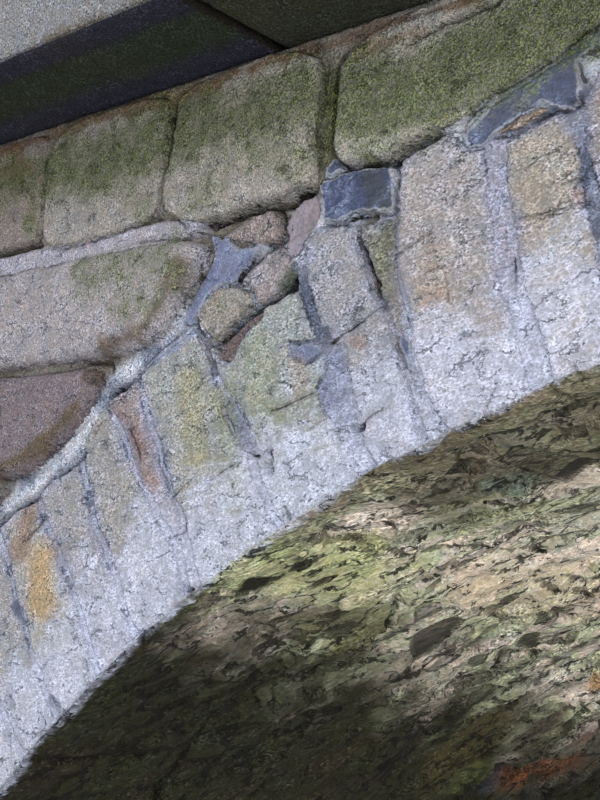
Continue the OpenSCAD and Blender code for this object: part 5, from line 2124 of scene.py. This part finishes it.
for front in (True, False):
    word = "front" if front else "back"
    for number in range(1, 7):
        near = front and number in (2, 3)
        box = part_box(f"front_slab_{number}")
        start = box[0][0] + (slab["end"] if number == 1 else 0)
        end = box[1][0] - (slab["end"] if number == 6 else 0)
        gap = slab["fine"] if near else slab["plain"]
        made = prismPiece(f"{word}_slab_{number}_stone", slabLoop(box, gap), start, end, gap,
                          slab["round"], "x",
                          slabLayout(500 + number * 7 + front, (number > 1, number < 6),
                                     number in (3, 6)), (False, not front))
        finishPiece(made, materials["slabStone"], [f"{word}_slab_{number}"],
                    blockShape)
        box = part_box(f"front_coping_{number}")
        made = prismPiece(f"{word}_coping_{number}_stone", copingLoop(box),
                          box[0][0] + coping["end"], box[1][0] - coping["end"], coping["plain"],
                          coping["round"], "x", copingLayout(600 + number * 7 + front),
                          (False, not front))
        finishPiece(made, materials["copingStone"], [f"{word}_coping_{number}"],
                    blockShape)
print("stage: slabs and coping stones")


# The springers

springer = {"gap": 0.036, "stone": 0.60, "round": 0.014, "tint": seen(140, 132, 120)}


def springerLayout(points, outward, edge):
    # one course of long stones across the bridge, with joints between them
    y = points[:, 1] + noise(points, 0.1, 71) * 0.006
    joint = np.abs(np.mod(y + springer["stone"] / 2, springer["stone"]) - springer["stone"] / 2)
    onFace = np.abs(outward[:, 1]) > 0.5
    edge = np.minimum(edge, np.where(onFace, 1.0, joint - 0.006))
    patchy = ease(noise(points, 0.2, 72), 0.0, 0.6)
    tint = np.tile(springer["tint"], (len(y), 1))
    return {"edge": edge, "face": 0.006, "round": 0.022, "bed": -0.010, "rough": 1.0, "groove": 0.0,
            "tint": tint * (1 + 0.1 * noise(points, 0.3, 73))[:, None], "moss": patchy * 0.4,
            "lime": ease(noise(points, 0.2, 74), 0.0, 0.7) * 0.45, "hollow": 0.0,
            "damp": 0.25 * patchy}


for left in (True, False):
    word = "left" if left else "right"
    low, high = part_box("springer_left")
    skewX = -outerRadius * math.sin(math.radians(bridge["halfAngle"]))
    skewZ = archZ + innerRadius * math.cos(math.radians(bridge["halfAngle"]))
    corners = [(low[0], low[2]), (high[0], low[2]), (high[0], skewZ), (skewX, high[2]),
               (low[0], high[2])]
    loop = roundedLoop(corners, springer["round"], [0.05, springer["gap"], 0.05, 0.05, 0.05])
    made = prismPiece(f"springer_{word}_stones", loop, low[1], high[1], springer["gap"],
                      springer["round"], "y", springerLayout, (not left, False))
    finishPiece(made, materials["springerStone"], [f"springer_{word}"], archShape)


# The road and its loose stones

road = {"gap": 0.046, "tint": seen(128, 120, 106), "wheel": seen(104, 96, 82), "rut": 0.012,
        "rutAt": 0.62, "rutWidth": 0.20, "round": 0.006, "end": 0.014, "edgeZ": 2.68,
        "stones": 1300.0, "area": 21.0, "size": 0.020}


def roadLayout(points, outward, edge):
    y = points[:, 1]
    upper = ease(outward[:, 2], 0.5, 0.9)
    rut = np.exp(-((np.abs(y) - road["rutAt"]) / road["rutWidth"]) ** 2) * upper
    drift = noise(points, 0.3, 81)
    tint = np.tile(road["tint"], (len(y), 1)) * (1 + 0.15 * drift)[:, None]
    tint = blend(tint, road["wheel"], rut * 0.6)
    verge = ease(np.abs(y), 1.0, 1.3) * upper
    return {"edge": 1.0, "face": -0.005, "round": 0.02, "bed": -0.005, "rough": 0.9,
            "groove": rut * road["rut"], "tint": tint, "moss": verge * ease(drift, -0.3, 0.4) * 0.8,
            "lime": 0.0, "hollow": 0.0, "damp": rut * 0.4}


low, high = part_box("roadway")
edgeZ = road["edgeZ"]
corners = [(low[1], low[2]), (high[1], low[2]), (high[1], edgeZ)]
corners += [(u, edgeZ + (high[2] - edgeZ) * (1 - abs(u) / high[1]))
            for u in np.linspace(high[1], low[1], 9)[1:-1]]
corners.append((low[1], edgeZ))
loop = roundedLoop(corners, road["round"], [0.3, 0.05] + [road["gap"]] * 8 + [0.05])
roadSurface = prismPiece("road_surface", loop, low[0] + road["end"], high[0] - road["end"],
                         road["gap"], road["round"], "x", roadLayout)
finishPiece(roadSurface, materials["roadGravel"], ["roadway"], blockShape)
print("stage: springers and road")


def buildScatterTree():
    # strews small broken stones over a surface
    tree, into = newTree("looseStones", {"Stones": 100.0, "Stone Size": 0.02, "Seed": 4})
    normal = addNode(tree, "GeometryNodeInputNormal").outputs[0]
    upward = addNode(tree, "ShaderNodeSeparateXYZ", {"Vector": normal}).outputs[2]
    top = addNode(tree, "FunctionNodeCompare", {"A": upward, "B": 0.8}, data_type="FLOAT",
                  operation="GREATER_THAN").outputs[0]
    strewn = addNode(tree, "GeometryNodeDistributePointsOnFaces",
                     {"Mesh": into["Geometry"], "Selection": top, "Density": into["Stones"],
                      "Seed": into["Seed"]})
    pebble = addNode(tree, "GeometryNodeMeshIcoSphere", {"Radius": 0.5, "Subdivisions": 1})
    bumpy = addNode(tree, "ShaderNodeTexNoise", {"Scale": 1.4, "Detail": 1.0})
    jolt = vectorCalc("SCALE", vectorCalc("SUBTRACT", bumpy.outputs[1], (0.5, 0.5, 0.5)), 0.7)
    shaped = addNode(tree, "GeometryNodeSetPosition",
                     {"Geometry": pebble.outputs[0], "Offset": jolt})
    size = addNode(tree, "FunctionNodeRandomValue",
                   {"Min": (0.35, 0.3, 0.2), "Max": (1.2, .9, .6), "Seed": into["Seed"]},
                   data_type="FLOAT_VECTOR").outputs[0]
    turn = addNode(tree, "FunctionNodeRandomValue",
                   {"Min": (0, 0, 0), "Max": (0.5, 0.5, 6.28), "Seed": into["Seed"]},
                   data_type="FLOAT_VECTOR").outputs[0]
    strewnStones = addNode(tree, "GeometryNodeInstanceOnPoints",
                           {"Points": strewn.outputs[0], "Instance": shaped.outputs[0],
                            "Rotation": turn,
                            "Scale": vectorCalc("SCALE", size, into["Stone Size"])})
    shade = addNode(tree, "FunctionNodeRandomValue",
                    {"Min": (0.13, 0.11, 0.09), "Max": (0.42, 0.39, 0.34)},
                    data_type="FLOAT_VECTOR").outputs[0]
    tinted = addNode(tree, "GeometryNodeStoreNamedAttribute",
                     {"Geometry": strewnStones.outputs[0], "Name": "tint", "Value": shade},
                     data_type="FLOAT_VECTOR", domain="INSTANCE")
    return endTree(tree, into, tinted.outputs[0])


gravel = placed("road_loose_stones", roadSurface.data.copy())
for key in ("mortar", "moss", "lime", "damp", "hollow", "stoneEdge", "tint"):
    gravel.data.attributes.remove(gravel.data.attributes[key])
runTree(gravel, buildScatterTree(), {"Stones": road["stones"] / road["area"],
                                     "Stone Size": road["size"], "Seed": 4,
                                     "Material": materials["roadGravel"]})
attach(gravel, "root")
print("stage: loose stones", len(gravel.data.polygons))

fill = bpy.data.objects["fill"]
fill.data.materials.clear()
fill.data.materials.append(materials["earthFill"])


# Camera, light and floor

view = {
    "lens": 54.0, "sensor": 36.0, "place": (-0.0464, -3.0586, 1.7201),
    "right": (0.73969, 0.66911, 0.07175), "up": (0.04869, -0.15956, 0.98599),
    "ahead": (-0.67118, 0.72584, 0.15060),
}
studio = {
    "world": 0.52, "backdrop": (0.92, 0.92, 0.92, 1), "floor": (0.74, 0.74, 0.73, 1), "reach": 30.0,
    # strength, softness in degrees, and direction
    "suns": {"keyLight": (1.25, 26.0, (0.55, 0.75, -0.62)),
             "fillLight": (0.3, 60.0, (-0.6, -0.5, -0.5))},
    # strength, size, spread in degrees which keeps them off the floor, place and target: one
    # reaches under the arch from the side, the other is what the ground there gives back
    "areas": {"lowLight": (31.0, 1.4, 80.0, (3.6, -4.6, 0.7), (-1.6, 0.2, 1.5)),
              "underLight": (7.1, 0.6, 100.0, (0.8, -0.9, 0.35), (-1.3, -0.7, 2.2))},
}

camera = bpy.data.cameras.new("camera")
camera.lens = view["lens"]
camera.sensor_width = view["sensor"]
camera.sensor_fit = "AUTO"
camera.clip_start = 0.05
eye = placed("camera", camera)
axes = np.array([view["right"], view["up"], np.negative(view["ahead"]), view["place"]]).T
eye.matrix_world = Matrix(axes.tolist() + [[0, 0, 0, 1]])
bpy.context.scene.camera = eye


def aimed(name, kind, energy, place, towards):
    # a lamp at a place, shining along a direction
    lamp = bpy.data.lights.new(name, kind)
    lamp.energy = energy
    z = -np.array(towards, float) / np.linalg.norm(towards)
    x = np.cross((0, 0, 1), z)
    x /= np.linalg.norm(x)
    turned = np.array([x, np.cross(z, x), z, place]).T
    placed(name, lamp).matrix_world = Matrix(turned.tolist() + [[0, 0, 0, 1]])
    return lamp


for name, (energy, softness, towards) in studio["suns"].items():
    aimed(name, "SUN", energy, (0, 0, 0), towards).angle = math.radians(softness)
for name, (energy, size, spread, place, target) in studio["areas"].items():
    lamp = aimed(name, "AREA", energy, place, np.subtract(target, place))
    lamp.size = size
    lamp.spread = math.radians(spread)
bpy.data.objects["underLight"].visible_camera = False

world = bpy.data.worlds.new("studio")
bpy.context.scene.world = world
world.use_nodes = True
sky = world.node_tree
sky.nodes.clear()
path = addNode(sky, "ShaderNodeLightPath").outputs
seenBackdrop = calc("MAXIMUM", path["Is Camera Ray"],
                    calc("MAXIMUM", path["Is Glossy Ray"], path["Is Transmission Ray"]))
dim = addNode(sky, "ShaderNodeBackground", {"Color": (1, 1, 1, 1), "Strength": studio["world"]})
plain = addNode(sky, "ShaderNodeBackground", {"Color": studio["backdrop"], "Strength": 1.0})
both = addNode(sky, "ShaderNodeMixShader", {0: seenBackdrop, 1: dim.outputs[0],
                                            2: plain.outputs[0]})
addNode(sky, "ShaderNodeOutputWorld", {0: both.outputs[0]})

floorMesh = bpy.data.meshes.new("studioFloor")
reach = studio["reach"]
floorMesh.from_pydata([(-reach, -reach, 0), (reach, -reach, 0), (reach, reach, 0),
                       (-reach, reach, 0)], [], [(0, 1, 2, 3)])
floor = placed("studioFloor", floorMesh)
paper = bpy.data.materials.new("studioPaper")
paper.use_nodes = True
sheet = paper.node_tree.nodes["Principled BSDF"].inputs
sheet["Base Color"].default_value = studio["floor"]
sheet["Roughness"].default_value = 0.9
floorMesh.materials.append(paper)

bpy.context.scene.view_settings.view_transform = "Standard"
print("stage: camera and light")

total = sum(len(p.vertices) - 2 for o in bpy.data.objects if o.type == "MESH" and not o.hide_render
            for p in o.data.polygons)
print("triangles in all:", total)
